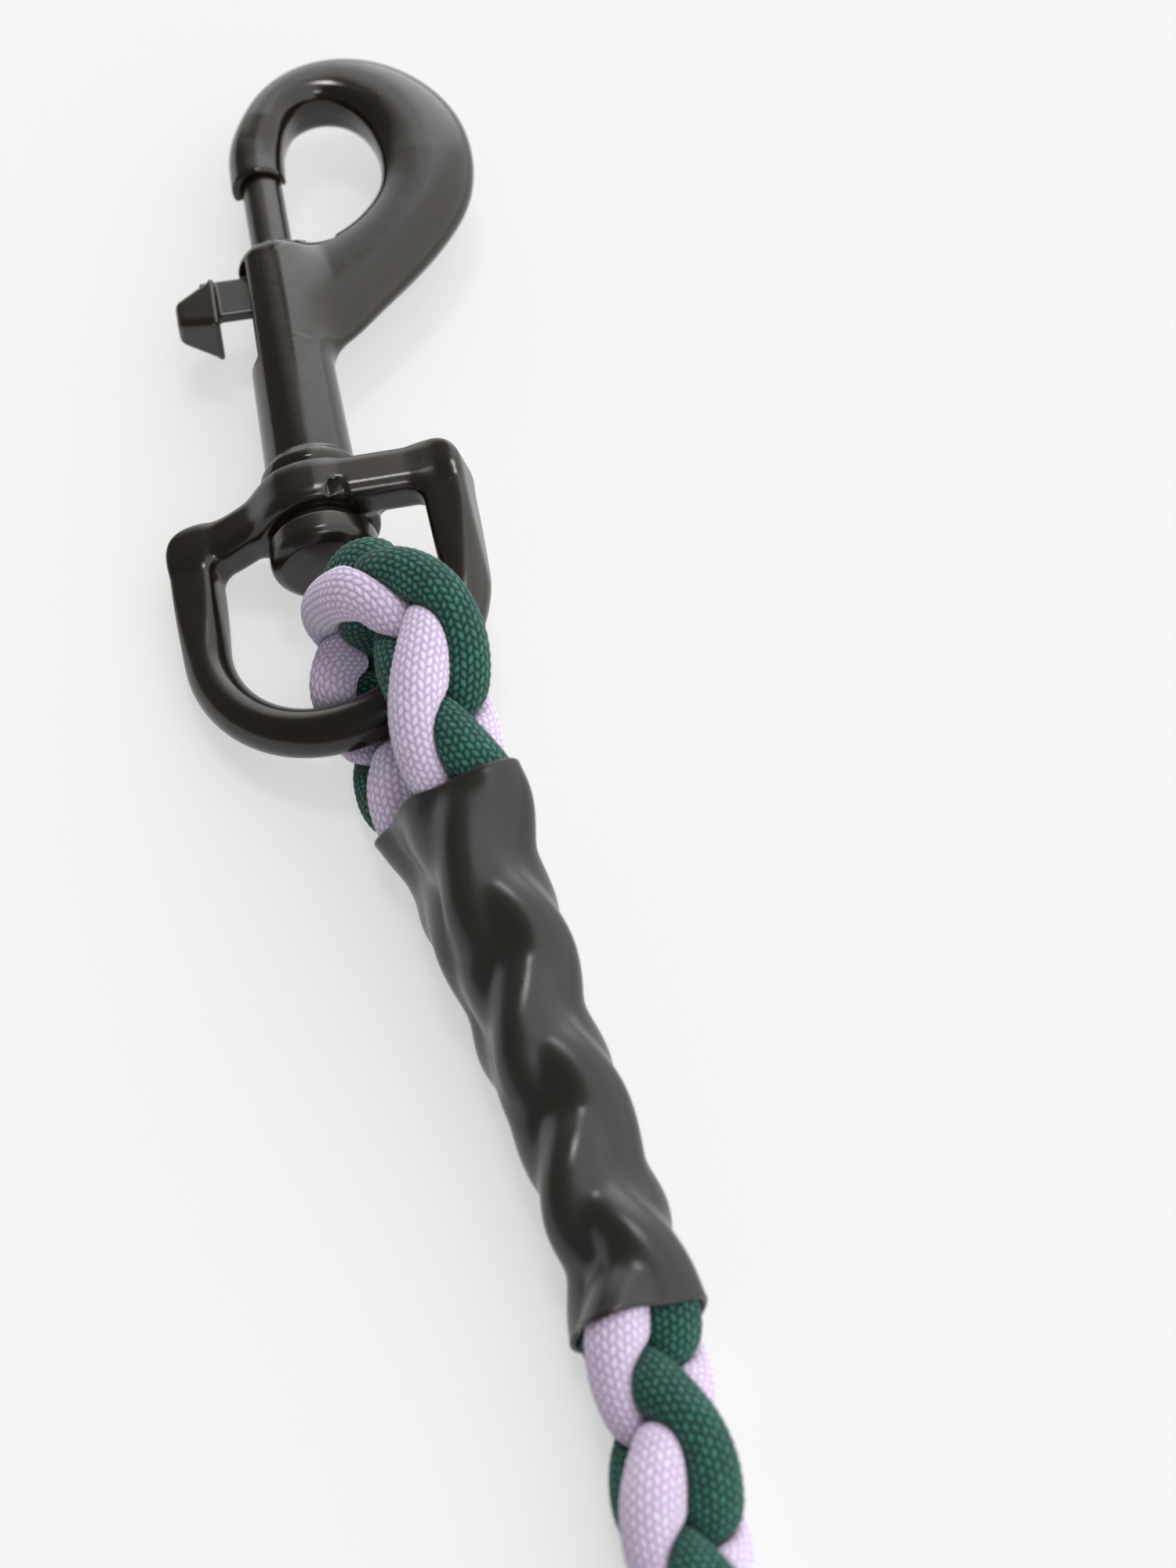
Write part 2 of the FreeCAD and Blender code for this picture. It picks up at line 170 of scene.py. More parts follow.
def build(name, verts, quads, tris=np.zeros((0, 3), int), stitch_uv=None):
    """A smooth-shaded object; verts in metres, stitch_uv one stitch place per vertex."""
    mesh = bpy.data.meshes.new(name)
    quad_count, tri_count = len(quads), len(tris)
    face_count = quad_count + tri_count
    mesh.vertices.add(len(verts))
    mesh.vertices.foreach_set("co", verts.astype(np.float32).ravel())
    loops = np.concatenate([quads.ravel(), tris.ravel()]).astype(np.int32)
    mesh.loops.add(len(loops))
    mesh.loops.foreach_set("vertex_index", loops)
    mesh.polygons.add(face_count)
    start = np.concatenate([np.arange(quad_count) * 4, quad_count * 4 + np.arange(tri_count) * 3])
    total = np.concatenate([np.full(quad_count, 4), np.full(tri_count, 3)])
    mesh.polygons.foreach_set("loop_start", start.astype(np.int32))
    mesh.polygons.foreach_set("loop_total", total.astype(np.int32))
    mesh.polygons.foreach_set("use_smooth", np.ones(face_count, bool))
    mesh.update(calc_edges=True)
    if stitch_uv is not None:
        corners = stitch_uv[loops]
        across = corners[: quad_count * 4].reshape(-1, 4, 2)[..., 0]
        # faces over the seam carry on past the last column
        seam = (across.max(1) - across.min(1)) > COLUMNS / 2
        across[seam] = np.where(across[seam] < COLUMNS / 2, across[seam] + COLUMNS, across[seam])
        layer = mesh.uv_layers.new(name="stitch")
        layer.data.foreach_set("uv", corners.astype(np.float32).ravel())
    mesh.validate()
    obj = bpy.data.objects.new(name, mesh)
    bpy.context.scene.collection.objects.link(obj)
    return obj


def tube(name, rings, stitches=None):
    """A capped tube from rings (row, point, 3); stitches is the (u, v) of each point."""
    rows, count = rings.shape[:2]
    co = metres(rings.reshape(-1, 3))
    verts = np.concatenate([co, [co[:count].mean(0), co[-count:].mean(0)]])
    j = np.arange(count)
    beside, last, centre = (j + 1) % count, (rows - 1) * count, rows * count
    caps = np.concatenate([
        np.stack([beside, j, np.full(count, centre)], 1),
        np.stack([last + j, last + beside, np.full(count, centre + 1)], 1)])
    stitch_uv = None
    if stitches is not None:
        stitch_uv = np.stack([np.concatenate([k.ravel(), [k[0].mean(), k[-1].mean()]])
                              for k in stitches], 1)
    return build(name, verts, ring_quads(rows, count, closed=False), caps, stitch_uv)


def film_mesh(name, outer, inner, headings, lip_rows, bulge):
    """A film between two walls (row, point, 3), both edges turned over round lips.
    headings: the way along the film at its first and last row."""
    angles = np.linspace(0, np.pi, lip_rows + 2)[1:-1]

    def lip(row, outward):
        middle, half = (outer[row] + inner[row]) / 2, (outer[row] - inner[row]) / 2
        return np.stack([middle + half * np.cos(a) + outward * np.sin(a) * bulge for a in angles])

    loop = np.concatenate([outer, lip(-1, headings[1]), inner[::-1], lip(0, -headings[0])[::-1]])
    loop[..., 2] = np.maximum(loop[..., 2], SKIM)
    return build(name, metres(loop.reshape(-1, 3)), ring_quads(*loop.shape[:2], closed=True))


# --------------------------------------------------------------- the rope's own line
STEP = 0.25                 # spacing of points along the line
# x, y, z from the short tail, up through the swivel eye and back down
EYE_LINE = [
    (14.8, -92.0, -3.2), (12.6, -82.0, -3.4), (10.6, -73.0, -3.6), (8.4, -64.0, -3.9),
    (7.3, -54.7, -4.2), (6.4, -46.9, -4.8), (5.3, -39.2, -5.2), (3.7, -31.8, -5.5),
    (1.7, -26.0, -5.2), (0.9, -22.3, -3.6), (0.4, -20.1, -0.3), (0.9, -19.6, 4.2),
    (2.5, -20.4, 8.6), (4.6, -22.3, 12.0), (7.2, -24.9, 14.4), (9.1, -28.5, 15.4),
    (10.1, -32.9, 15.4), (10.4, -37.7, 14.6), (10.3, -43.2, 13.2), (10.6, -49.2, 10.8),
    (12.5, -61.0, 7.4), (13.9, -72.0, 4.6), (15.5, -84.0, 1.6), (17.3, -96.0, -1.0),
    (18.9, -107.5, -2.5), (19.7, -118.0, -3.0), (19.9, -128.0, -3.0), (19.9, -140.0, -3.0),
]
# x, y, z of the shrink sleeve's axis, from its mouth
SLEEVE_AXIS = [
    (9.6, -41.0, 5.2), (10.0, -46.0, 4.6), (10.6, -51.5, 4.0), (11.9, -61.0, 2.6),
    (13.3, -72.0, 0.9), (15.3, -84.0, -0.9), (17.3, -96.0, -2.2), (19.1, -107.5, -2.8),
    (19.8, -118.6, -3.0), (20.0, -124.0, -3.0),
]
ROPE_X, _, ROPE_Z = EYE_LINE[-1]    # the straight run before the coil
COIL_Y, COIL_R, COIL_PITCH, COIL_HALVES = -238.0, 92.0, 14.7, 10
LEVEL_Y = -130.0            # on the straight run, where the carried side vector is +X
EYE_PART = int(260 / STEP)  # points that hold the bend's highest y
NEAR_END_Y = -165.0         # the detailed cords stop here


def rope_line():
    """Centre line from the tail's end, round the eye and along the coil, with the
    distance along it, its heading and its carried side and up vectors."""
    eye = moving_average(spline(EYE_LINE, STEP), 9)
    run = np.arange(eye[-1][1] - STEP, COIL_Y, -STEP)
    parts = [eye, np.stack([np.full_like(run, ROPE_X), run, np.full_like(run, ROPE_Z)], axis=1)]
    x, side = ROPE_X, 1
    for k in range(COIL_HALVES):
        radius = COIL_R - COIL_PITCH / 2 * k
        centre = x - side * radius
        count = int(math.pi * radius / STEP)
        angle = -np.pi * np.arange(count) / count
        parts.append(np.stack([centre + side * radius * np.cos(angle),
                               COIL_Y + side * radius * np.sin(angle),
                               np.full(count, ROPE_Z)], axis=1))
        x = centre - side * radius
        side = -side
    line, along = resample(np.concatenate(parts), STEP)
    heading = unit(moving_average(unit(np.gradient(line, axis=0)), 7))
    level = int(np.argmin(np.abs(line[:, 1] - LEVEL_Y) + np.abs(line[:, 0] - ROPE_X)))
    across = np.zeros_like(line)
    across[level] = (1, 0, 0)
    for order, back in ((range(level + 1, len(line)), -1), (range(level - 1, -1, -1), 1)):
        for i in order:
            v = across[i + back] - heading[i] * (across[i + back] @ heading[i])
            across[i] = v / math.sqrt(v @ v)
    return line, along, heading, across, -np.cross(across, heading)


LINE, ALONG, HEADING, ACROSS, UPWARD = rope_line()
SLEEVE_LINE = spline(SLEEVE_AXIS, 0.5)
# point numbers of the bend's highest y, and of the end of the detailed part
TOP = int(np.argmax(LINE[:EYE_PART, 1]))
NEAR_END = int(np.argmin(np.abs(LINE[TOP: TOP + 1000, 1] - NEAR_END_Y))) + TOP
TOP_ALONG = ALONG[TOP]

# ------------------------------------------------------------- the swivel eye's bow
TILT = math.radians(18.0)
BOW_R, BAR_R, LEG_END = 18.285, 3.19, -16.6     # bow, its bar, y where the legs end


def tilt(p):
    """Turns points of the swivel eye's own plane into place: its +X side stands up."""
    p = np.asarray(p, float)
    c, s = math.cos(TILT), math.sin(TILT)
    return np.stack([c * p[..., 0] - s * p[..., 2], p[..., 1], s * p[..., 0] + c * p[..., 2]],
                    axis=-1)


def bow_line():
    """Centre line of the bar: -X leg, bow, +X leg."""
    a = np.linspace(0, np.pi, 90)
    bow = np.stack([-BOW_R * np.cos(a), LEG_END - BOW_R * np.sin(a), 0 * a], axis=1)
    y = np.arange(LEG_END, 1, 0.6)[1:]
    left, right = (np.stack([0 * y + x, y, 0 * y], axis=1) for x in (-BOW_R, BOW_R))
    return tilt(np.concatenate([left[::-1], bow, right]))


BOW = bow_line()

# ------------------------------------------------------------------ the cords' lines
PERIOD = 41.0               # along the rope, one full turn of a cord
CORD_R = 3.65
SWING, CROSSING = 4.35, 2.0     # how far a cord swings out, and its offset where a pair crosses
# Where a lavender cord, then a green one, is at its outermost, as distances past the
# bend's middle, and the half turn the first stands for. Each is half a turn on.
LAVENDER_OUT = (-33.3, -13.3, 10.0, 34.0, 55.8, 76.8, 94.5, 114.0, 132.8), -3
GREEN_OUT = (-25.5, -1.0, 24.3, 45.8, 64.5, 84.8, 107.5, 127.5), -2
PHASE_BLUR = 8.0            # length the change of pitch is smoothed over
# the whole lay is turned by this before the first place, by none after the second
TWIST, TWIST_FROM, TWIST_TO = math.radians(62.0), TOP_ALONG - 2.0, TOP_ALONG + 21.0
# where single cords leave the even pattern round the bend:
# cord, distance past the bend's middle, half width, shift
NUDGES = [
    (3, -1.0, 9.0, (4.2, 0.0, 0.0)),
    (1, 7.0, 6.0, (1.2, -0.2, 0.0)),
    (0, -13.0, 6.0, (-0.7, 0.0, 0.0)),
]


def turning(outermost, first):
    """Angle of a cord pair along the rope: through the places listed, then evenly."""
    at = TOP_ALONG + np.array(outermost)
    turns = first + np.arange(len(at))
    half = PERIOD / 2
    before, after = 5, 400      # half turns added at either end
    x = np.concatenate([[at[0] - before * half], at, [at[-1] + after * half]])
    y = np.concatenate([[turns[0] - before], turns, [turns[-1] + after]])
    phase = np.interp(ALONG, x, y)
    kernel = np.hanning(int(PHASE_BLUR / STEP) + 2)[1:-1]
    kernel /= kernel.sum()
    pad = len(kernel) // 2
    padded = np.concatenate([
        phase[0] + np.arange(-pad, 0) * (phase[1] - phase[0]), phase,
        phase[-1] + np.arange(1, len(kernel) - pad) * (phase[-1] - phase[-2])])
    return np.pi * np.convolve(padded, kernel, "valid")


def cord_centres():
    """Centre lines of the four cords: 0, 1 lavender, 2, 3 green."""
    twist = TWIST * (1 - ease(TWIST_FROM, TWIST_TO, ALONG))
    c, s = np.cos(twist)[:, None], np.sin(twist)[:, None]
    across = c * ACROSS + s * UPWARD
    upward = -s * ACROSS + c * UPWARD
    lavender = (-across + upward) / math.sqrt(2)
    green = (across + upward) / math.sqrt(2)
    cords = []
    for places, own, other in ((LAVENDER_OUT, lavender, green), (GREEN_OUT, green, lavender)):
        phase = turning(*places)
        for k in range(2):
            a = (phase + k * np.pi)[:, None]
            cords.append(LINE + own * SWING * np.cos(a) - other * CROSSING * np.sin(a))
    cords = np.stack(cords)
    for cord, past, width, shift in NUDGES:
        weight = np.exp(-((ALONG - TOP_ALONG - past) / width) ** 2)[:, None]
        cords[cord] += weight * np.array(shift)
    return cords


def clear_of_bow(cords):
    """Moves cord centres off the swivel eye's bar and the table, a little at a time."""
    n = int((TOP_ALONG + 60) / STEP)
    station = np.arange(n)
    under = station < TOP - 12 / STEP       # the leg that passes below the bar
    moved = cords[:, :n].copy()
    for turn in range(14):
        for path in moved:
            offset = path[:, None] - BOW[None]
            distance = np.sqrt((offset ** 2).sum(2))
            nearest = distance.argmin(1)
            gap = distance[station, nearest]
            push = np.clip(BAR_R + 2.35 - gap, 0, None)
            way = offset[station, nearest] / np.maximum(gap, 1e-6)[:, None]
            path += np.where(under[:, None], 0, way * push[:, None] * 0.7)
            # the lower leg is only pressed down
            plan = np.hypot(offset[..., 0], offset[..., 1])
            nearest = plan.argmin(1)
            gap = plan[station, nearest]
            clear = BAR_R + 2.3
            ceiling = BOW[nearest, 2] - np.sqrt(np.maximum(clear ** 2 - gap ** 2, 0))
            over = np.where(under & (gap < clear), np.clip(path[:, 2] - ceiling, 0, None), 0)
            path[:, 2] -= over * 0.8
            path[:, 2] += np.clip(FLOOR + 2.2 - path[:, 2], 0, None) * 0.7
        if turn < 10:
            moved = np.stack([moving_average(path, 9) for path in moved])
    keep = ease(n - 80, n - 8, station)[None, :, None]
    out = cords.copy()
    out[:, :n] = moved * (1 - keep) + cords[:, :n] * keep
    return out


def draw_into_sleeve(cords):
    """Draws both legs together towards the shrink sleeve's axis."""
    out = cords.copy()
    lower = np.arange(out.shape[1]) < TOP
    y = cords[:, :, 1]
    out[:, :, 0] += 1.9 * lower * (1 - ease(-58.0, -43.0, y))
    weight = np.where(lower, 1 - ease(-60.0, -53.5, y),
                      (1 - ease(-64.0, -56.0, y)) * (0.35 + 0.65 * ease(-108.0, -96.0, y)))
    weight = 0.24 * weight * ease(-119.5, -113.0, y)
    for axis in (0, 2):
        target = np.interp(-y, -SLEEVE_LINE[:, 1], SLEEVE_LINE[:, axis])
        out[:, :, axis] += (target - out[:, :, axis]) * weight
    out[:, :, 2] = np.maximum(out[:, :, 2], FLOOR + 2.0)
    return out


CORDS = draw_into_sleeve(clear_of_bow(cord_centres()))
CORD_ALONG = np.stack([run_length(c) for c in CORDS])
CORD_HEADING = np.stack([unit(np.gradient(c, axis=0)) for c in CORDS])

# -------------------------------------------------------------- the cords' surfaces
CORD_GAP = 0.10             # kept free on each side between two cords
BOW_GAP, BOW_GAP_FIRST = 0.38, 0.68     # kept free of the bar; cord 0 keeps more
FAR_HALF_WIDTH = 7.28       # half the coiled rope's width
RELIEF, RELIEF_MEAN = 0.15, 0.78        # stitch height, and the height left in place
FREE = 99                   # reach where nothing is in the way


def section_axes(heading, across):
    """Two unit vectors square to the heading, the first near across."""
    first = unit(across - heading * (across * heading).sum(1, keepdims=True))
    return first, np.cross(heading, first)


def wall_reach(lean, room):
    """Reach of rays before a wall that stands room away; lean is their share towards it."""
    return np.where(lean > 0.02, room[:, None] / np.maximum(lean, 0.02), FREE)


def reach_map(cord, stations, count, far):
    """How far a cord reaches at each station and direction before a neighbour, the bar
    or the table stops it."""
    rays = spokes(circle(count), *section_axes(CORD_HEADING[cord][stations], ACROSS[stations]))
    centre = CORDS[cord][stations]
    reach = np.full((len(stations), count), CORD_R)

    def stop(offset, room):
        distance = np.sqrt((offset ** 2).sum(-1))
        way = offset / np.maximum(distance, 1e-6)[..., None]
        lean = np.einsum("nmk,nk->nm", rays, way)
        np.minimum(reach, wall_reach(lean, np.maximum(room(distance), 0.15)), out=reach)

    def half_way(distance):
        return distance / 2 - CORD_GAP

    shifts = (np.arange(-11, 11.1, 1.0) / STEP).astype(int)
    for j in range(4):
        if j == cord:
            continue
        for shift in shifts:
            k = np.clip(stations + shift, 0, len(LINE) - 1)
            stop(CORDS[j][k] - centre, half_way)
    if far:
        side_way = unit(np.cross(HEADING[stations], np.array([0, 0, 1.0])))
        aside = ((centre - LINE[stations]) * side_way).sum(1)
        for sign in (1, -1):
            lean = np.einsum("nmk,nk->nm", rays, side_way * sign)
            room = np.maximum(FAR_HALF_WIDTH - sign * aside, 0.3)
            reach = np.minimum(reach, wall_reach(lean, room))
    else:
        # the other leg of the eye
        n = int((TOP_ALONG + 110) / STEP)
        apart = ((LINE[stations][:, None] - LINE[:n:2][None]) ** 2).sum(2)
        apart[np.abs(ALONG[stations][:, None] - ALONG[:n:2][None]) < 36] = 1e9
        nearest = apart.argmin(1) * 2
        close = apart.min(1) < 30 ** 2
        for j in range(4):
            for shift in shifts:
                k = np.clip(nearest + shift, 0, n - 1)
                offset = CORDS[j][k] - centre
                offset[~close] = (0, 0, 500)
                stop(offset, half_way)
        bow_gap = BOW_GAP_FIRST if cord == 0 else BOW_GAP
        for point in BOW[::2]:
            stop(point[None] - centre, lambda distance: distance - BAR_R - bow_gap)
    reach = np.minimum(reach, wall_reach(-rays[:, :, 2], centre[:, 2] - FLOOR - 0.04))
    return np.minimum(blur(reach, 0.8 if far else 1.6, 1.1), reach + 0.10)


def stitch(u, v):
    """Height, 0 to 1, of the plaited sheath's stitches."""
    column = np.floor(u)
    odd = np.mod(column, 2)
    x = u - column - 0.5
    row = v + (1 - 2 * odd) * 0.5 * x + 0.5 * odd
    row = row - np.floor(row)
    return (1 - np.abs(2 * x) ** 2.4) * (1 - np.abs(2 * row - 1) ** 2.2)


def raise_stitches(reach, places, y, u, v):
    """Adds the stitches, and draws the cord in where the sleeve hides it."""
    squeezed = np.clip((CORD_R - reach) / 1.2, 0, 1)
    fade = ease(-164, -158, y)
    reach = reach + fade * (RELIEF * (stitch(u, v) - RELIEF_MEAN) * (1 - 0.55 * squeezed))
    hidden = ease(-117.0, -114.0, y[:, 0]) * (1 - ease(-59.5, -56.8, y[:, 0]))
    hidden = np.where(places < TOP, 1 - ease(-54.0, -51.8, y[:, 0]), hidden)[:, None]
    return reach * (1 - 0.29 * hidden) - 0.25 * hidden * RELIEF


def cord_rings(cord, places, count, far):
    """Rings of a cord at fractional places on the line, with their stitch (u, v)."""
    step, coarse = (5, 24) if far else (2, 48)
    end = min(int(math.ceil(places[-1])) + step, len(LINE) - 1)
    stations = np.arange(int(places[0]), end, step)
    reach = rows_at(reach_map(cord, stations, coarse, far),
                    np.interp(places, stations, np.arange(len(stations))))
    angle = circle(count)
    slot = angle / (2 * np.pi) * coarse
    k = slot.astype(int)
    f = (slot - k)[None, :]
    reach = reach[:, k % coarse] * (1 - f) + reach[:, (k + 1) % coarse] * f
    centre = rows_at(CORDS[cord], places)
    line = rows_at(LINE, places)
    heading = unit(rows_at(CORD_HEADING[cord], places))
    rays = spokes(angle, *section_axes(heading, rows_at(ACROSS, places)))
    point_numbers = np.arange(len(LINE))
    along = np.interp(places, point_numbers, CORD_ALONG[cord])
    shape = (len(places), count)
    u = np.broadcast_to(COLUMNS * np.arange(count)[None, :] / count, shape)
    v = np.broadcast_to(along[:, None] / ROW, shape)
    if not far:
        reach = raise_stitches(reach, places, line[:, 1:2], u, v)
    rings = centre[:, None] + rays * reach[..., None]
    if far:
        # drawn in where the end sleeve holds it
        end = ALONG[-1]
        held = ease(end - 36.0, end - 33.2, np.interp(places, point_numbers, ALONG))
        rings = rings + (line[:, None] - rings) * (0.15 * held[:, None, None])
    rings[..., 2] = np.maximum(rings[..., 2], SKIM)
    return rings, (u, v)


NEAR_STEP, HIDDEN_STEP, FAR_STEP = 0.2, 1.2, 1.1    # ring spacing along the rope
NEAR_POINTS, FAR_POINTS = 104, 28                   # points round a ring


def near_places(low):
    """Fractional places along the line: close together where the cords show, wider
    inside the sleeve."""
    k = np.arange(low, NEAR_END)
    y = LINE[k, 1]
    hidden = ((y < -59.5) & (y > -114)) | ((k < TOP) & (y < -55.5))
    step = np.where(hidden, HIDDEN_STEP, NEAR_STEP) / STEP
    out = [float(low)]
    while out[-1] < NEAR_END - 1:
        out.append(out[-1] + step[min(int(out[-1]) - low, len(step) - 1)])
    return np.array(out[:-1])


# --------------------------------------------------------------------- solid fields
VOXEL = 0.28


def axes(low, high, voxel):
    x, y, z = (np.arange(a, b + voxel, voxel) for a, b in zip(low, high))
    return x[:, None, None], y[None, :, None], z[None, None, :]


def join(a, b, blend):
    """Union of two fields, with a fillet."""
    h = np.clip(0.5 + 0.5 * (b - a) / blend, 0, 1)
    return b * (1 - h) + a * h - blend * h * (1 - h)


def trim(a, b, blend):
    """What two fields share, its edge rounded."""
    return -join(-a, -b, blend)


def cut(a, b, blend):
    """The first field less the second, its edge rounded."""
    return trim(a, -b, blend)


def rounded_distance(*gaps, edge):
    """Distance from faces, each gap taken from a face set in by the rounding."""
    outside = np.sqrt(sum(np.maximum(g, 0) ** 2 for g in gaps))
    deepest = gaps[-1]
    for g in gaps[-2::-1]:
        deepest = np.maximum(g, deepest)
    return outside + np.minimum(deepest, 0) - edge


def box(x, y, z, half, edge):
    """Rounded box about zero; half is its half size."""
    gaps = [np.abs(p) - h + edge for p, h in zip((x, y, z), half)]
    return rounded_distance(*gaps, edge=edge)


def disc(r, y, radius, low, high, edge):
    """Round bar along y with rounded rims; r is the distance from its axis."""
    return rounded_distance(r - radius + edge,
                            np.abs(y - (low + high) / 2) - (high - low) / 2 + edge, edge=edge)


def sample(grid, p):
    """A grid's values at fractional places, trilinear."""
    k = np.clip(p.astype(int), 0, np.array(grid.shape) - 2)
    f = p - k
    out = 0
    for dx in (0, 1):
        for dy in (0, 1):
            for dz in (0, 1):
                weight = ((f[:, 0] if dx else 1 - f[:, 0]) * (f[:, 1] if dy else 1 - f[:, 1])
                          * (f[:, 2] if dz else 1 - f[:, 2]))
                out = out + weight * grid[k[:, 0] + dx, k[:, 1] + dy, k[:, 2] + dz]
    return out


def skin(name, field, low, voxel, turn=None):
    """The zero surface of a field as a mesh, vertices brought onto it along its slope."""
    grid = openvdb.FloatGrid(float(field.max()))
    grid.copyFromArray(np.ascontiguousarray(field.astype(np.float32)))
    points, quads = grid.convertToQuads(isovalue=0.0)
    slopes = np.gradient(field.astype(np.float32), voxel)
    p = points.astype(float)
    for _ in range(3):
        slope = np.stack([sample(s, p) for s in slopes], 1)
        steepness = np.maximum((slope ** 2).sum(1), 0.05)
        move = slope * (sample(field, p) / steepness)[:, None] / voxel
        p = p - np.clip(move, -0.7, 0.7)
    co = p * voxel + np.array(low)
    if turn is not None:
        co = turn(co)
    return build(name, metres(co), quads[:, ::-1].astype(np.int64))


def polyline_distance(x, y, points):
    """Distance to an open line of points and how far along it, 0 to 1."""
    spans = points[1:] - points[:-1]
    at = run_length(points)
    best = np.full(x.shape, 1e9)
    along = np.zeros(x.shape)
    for start, span, passed in zip(points, spans, at):
        t = np.clip(((x - start[0]) * span[0] + (y - start[1]) * span[1]) / (span @ span), 0, 1)
        distance = np.hypot(x - start[0] - t * span[0], y - start[1] - t * span[1])
        nearer = distance < best
        best = np.where(nearer, distance, best)
        along = np.where(nearer, passed + t * np.linalg.norm(span), along)
    return best, along / at[-1]


def inside(x, y, points):
    """True where (x, y) lies within the closed outline."""
    within = np.zeros(x.shape, bool)
    for (x0, y0), (x1, y1) in zip(points, np.roll(points, -1, axis=0)):
        if y0 != y1:
            within ^= ((y0 > y) != (y1 > y)) & (x < (x1 - x0) * (y - y0) / (y1 - y0) + x0)
    return within


# ------------------------------------------------------------------------ hook body
# Stations round the hook's arm, from the nose to the barrel: outer edge x, y, inner
# edge x, y, half thickness, and the section's squareness on its outer and inner side.
HOOK = np.array([
    (-4.4, 60.6, 3.7, 60.6, 4.1, 2.0, 2.0), (-4.4, 65.6, 3.8, 65.0, 4.1, 2.0, 2.1),
    (-4.0, 69.8, 4.1, 68.6, 4.2, 2.0, 2.3), (-1.9, 75.4, 5.2, 72.8, 4.5, 2.0, 2.8),
    (3.1, 82.3, 7.2, 75.9, 4.4, 2.0, 3.2), (10.7, 86.1, 10.4, 77.0, 4.3, 2.1, 3.4),
    (19.4, 85.0, 13.8, 75.7, 4.3, 2.2, 3.4), (26.6, 79.5, 16.3, 72.2, 4.2, 2.2, 3.2),
    (31.0, 70.6, 17.6, 67.4, 4.2, 2.2, 3.0), (31.5, 61.6, 17.7, 62.0, 4.2, 2.2, 3.0),
    (29.6, 54.2, 16.5, 57.2, 4.1, 2.1, 3.0), (25.3, 47.2, 13.8, 53.2, 4.0, 2.0, 3.0),
    (19.8, 41.0, 10.6, 50.4, 3.9, 2.0, 3.0), (14.1, 35.5, 7.0, 48.8, 3.8, 2.0, 2.6),
    (8.4, 30.3, 3.4, 47.9, 3.7, 2.0, 2.4), (3.0, 27.3, 0.0, 46.9, 3.6, 2.0, 2.2),
])
ARM_CLOSE = [[-3.0, 26.5], [-3.0, 61.0]]        # closes the outer edge into an outline
BARREL_R, BARREL_END_R = 6.15, 5.45             # the barrel tapers towards the nose
BARREL_TAPER_FROM, BARREL_TAPER_LENGTH = 6.2, 39.0
BORE_R, RIVET_BORE_R = 3.06, 3.25


def hook_arm(x, y, z):
    """The arm: rounded sections between the outer and inner edge."""
    plan_x, plan_y = x[:, :, 0] + 0 * y[:, :, 0], y[:, :, 0] + 0 * x[:, :, 0]
    outer = spline(HOOK[:, 0:2], 0.6)
    inner = spline(HOOK[:, 2:4], 0.6)
    outer_gap, along = polyline_distance(plan_x, plan_y, outer)
    inner_gap, _ = polyline_distance(plan_x, plan_y, inner)
    ring = np.concatenate([outer, ARM_CLOSE])
    outer_gap = np.where(inside(plan_x, plan_y, ring), outer_gap, -outer_gap)
    inner_gap = np.where(inside(plan_x, plan_y, inner), -inner_gap, inner_gap)
    at = np.concatenate([[0], np.cumsum(np.hypot(*np.diff(HOOK[:, 0:2], axis=0).T))])
    thick, outer_power, inner_power = (np.interp(along, at / at[-1], HOOK[:, k])
                                       for k in (4, 5, 6))
    thick = np.where(plan_y < 55, thick * (0.25 + 0.75 * ease(-2.0, 5.0, plan_x)), thick)
    # -1 at the inner edge, +1 at the outer
    across = (inner_gap - outer_gap) / np.maximum(inner_gap + outer_gap, 0.8)
    power = np.where(across > 0, outer_power, inner_power)[:, :, None]
    across = np.clip(np.abs(across), 0, 4)[:, :, None]
    height = np.clip(np.abs(z) / thick[:, :, None], 0, 4)
    level = (across ** power + height ** power + 1e-9) ** (1 / power) - 1
    gx, gy, gz = np.gradient(level.astype(np.float32), VOXEL)
    slope = np.clip(np.sqrt(gx ** 2 + gy ** 2 + gz ** 2), 0.06, 1.2)
    return np.clip(level / slope, -6, 12)


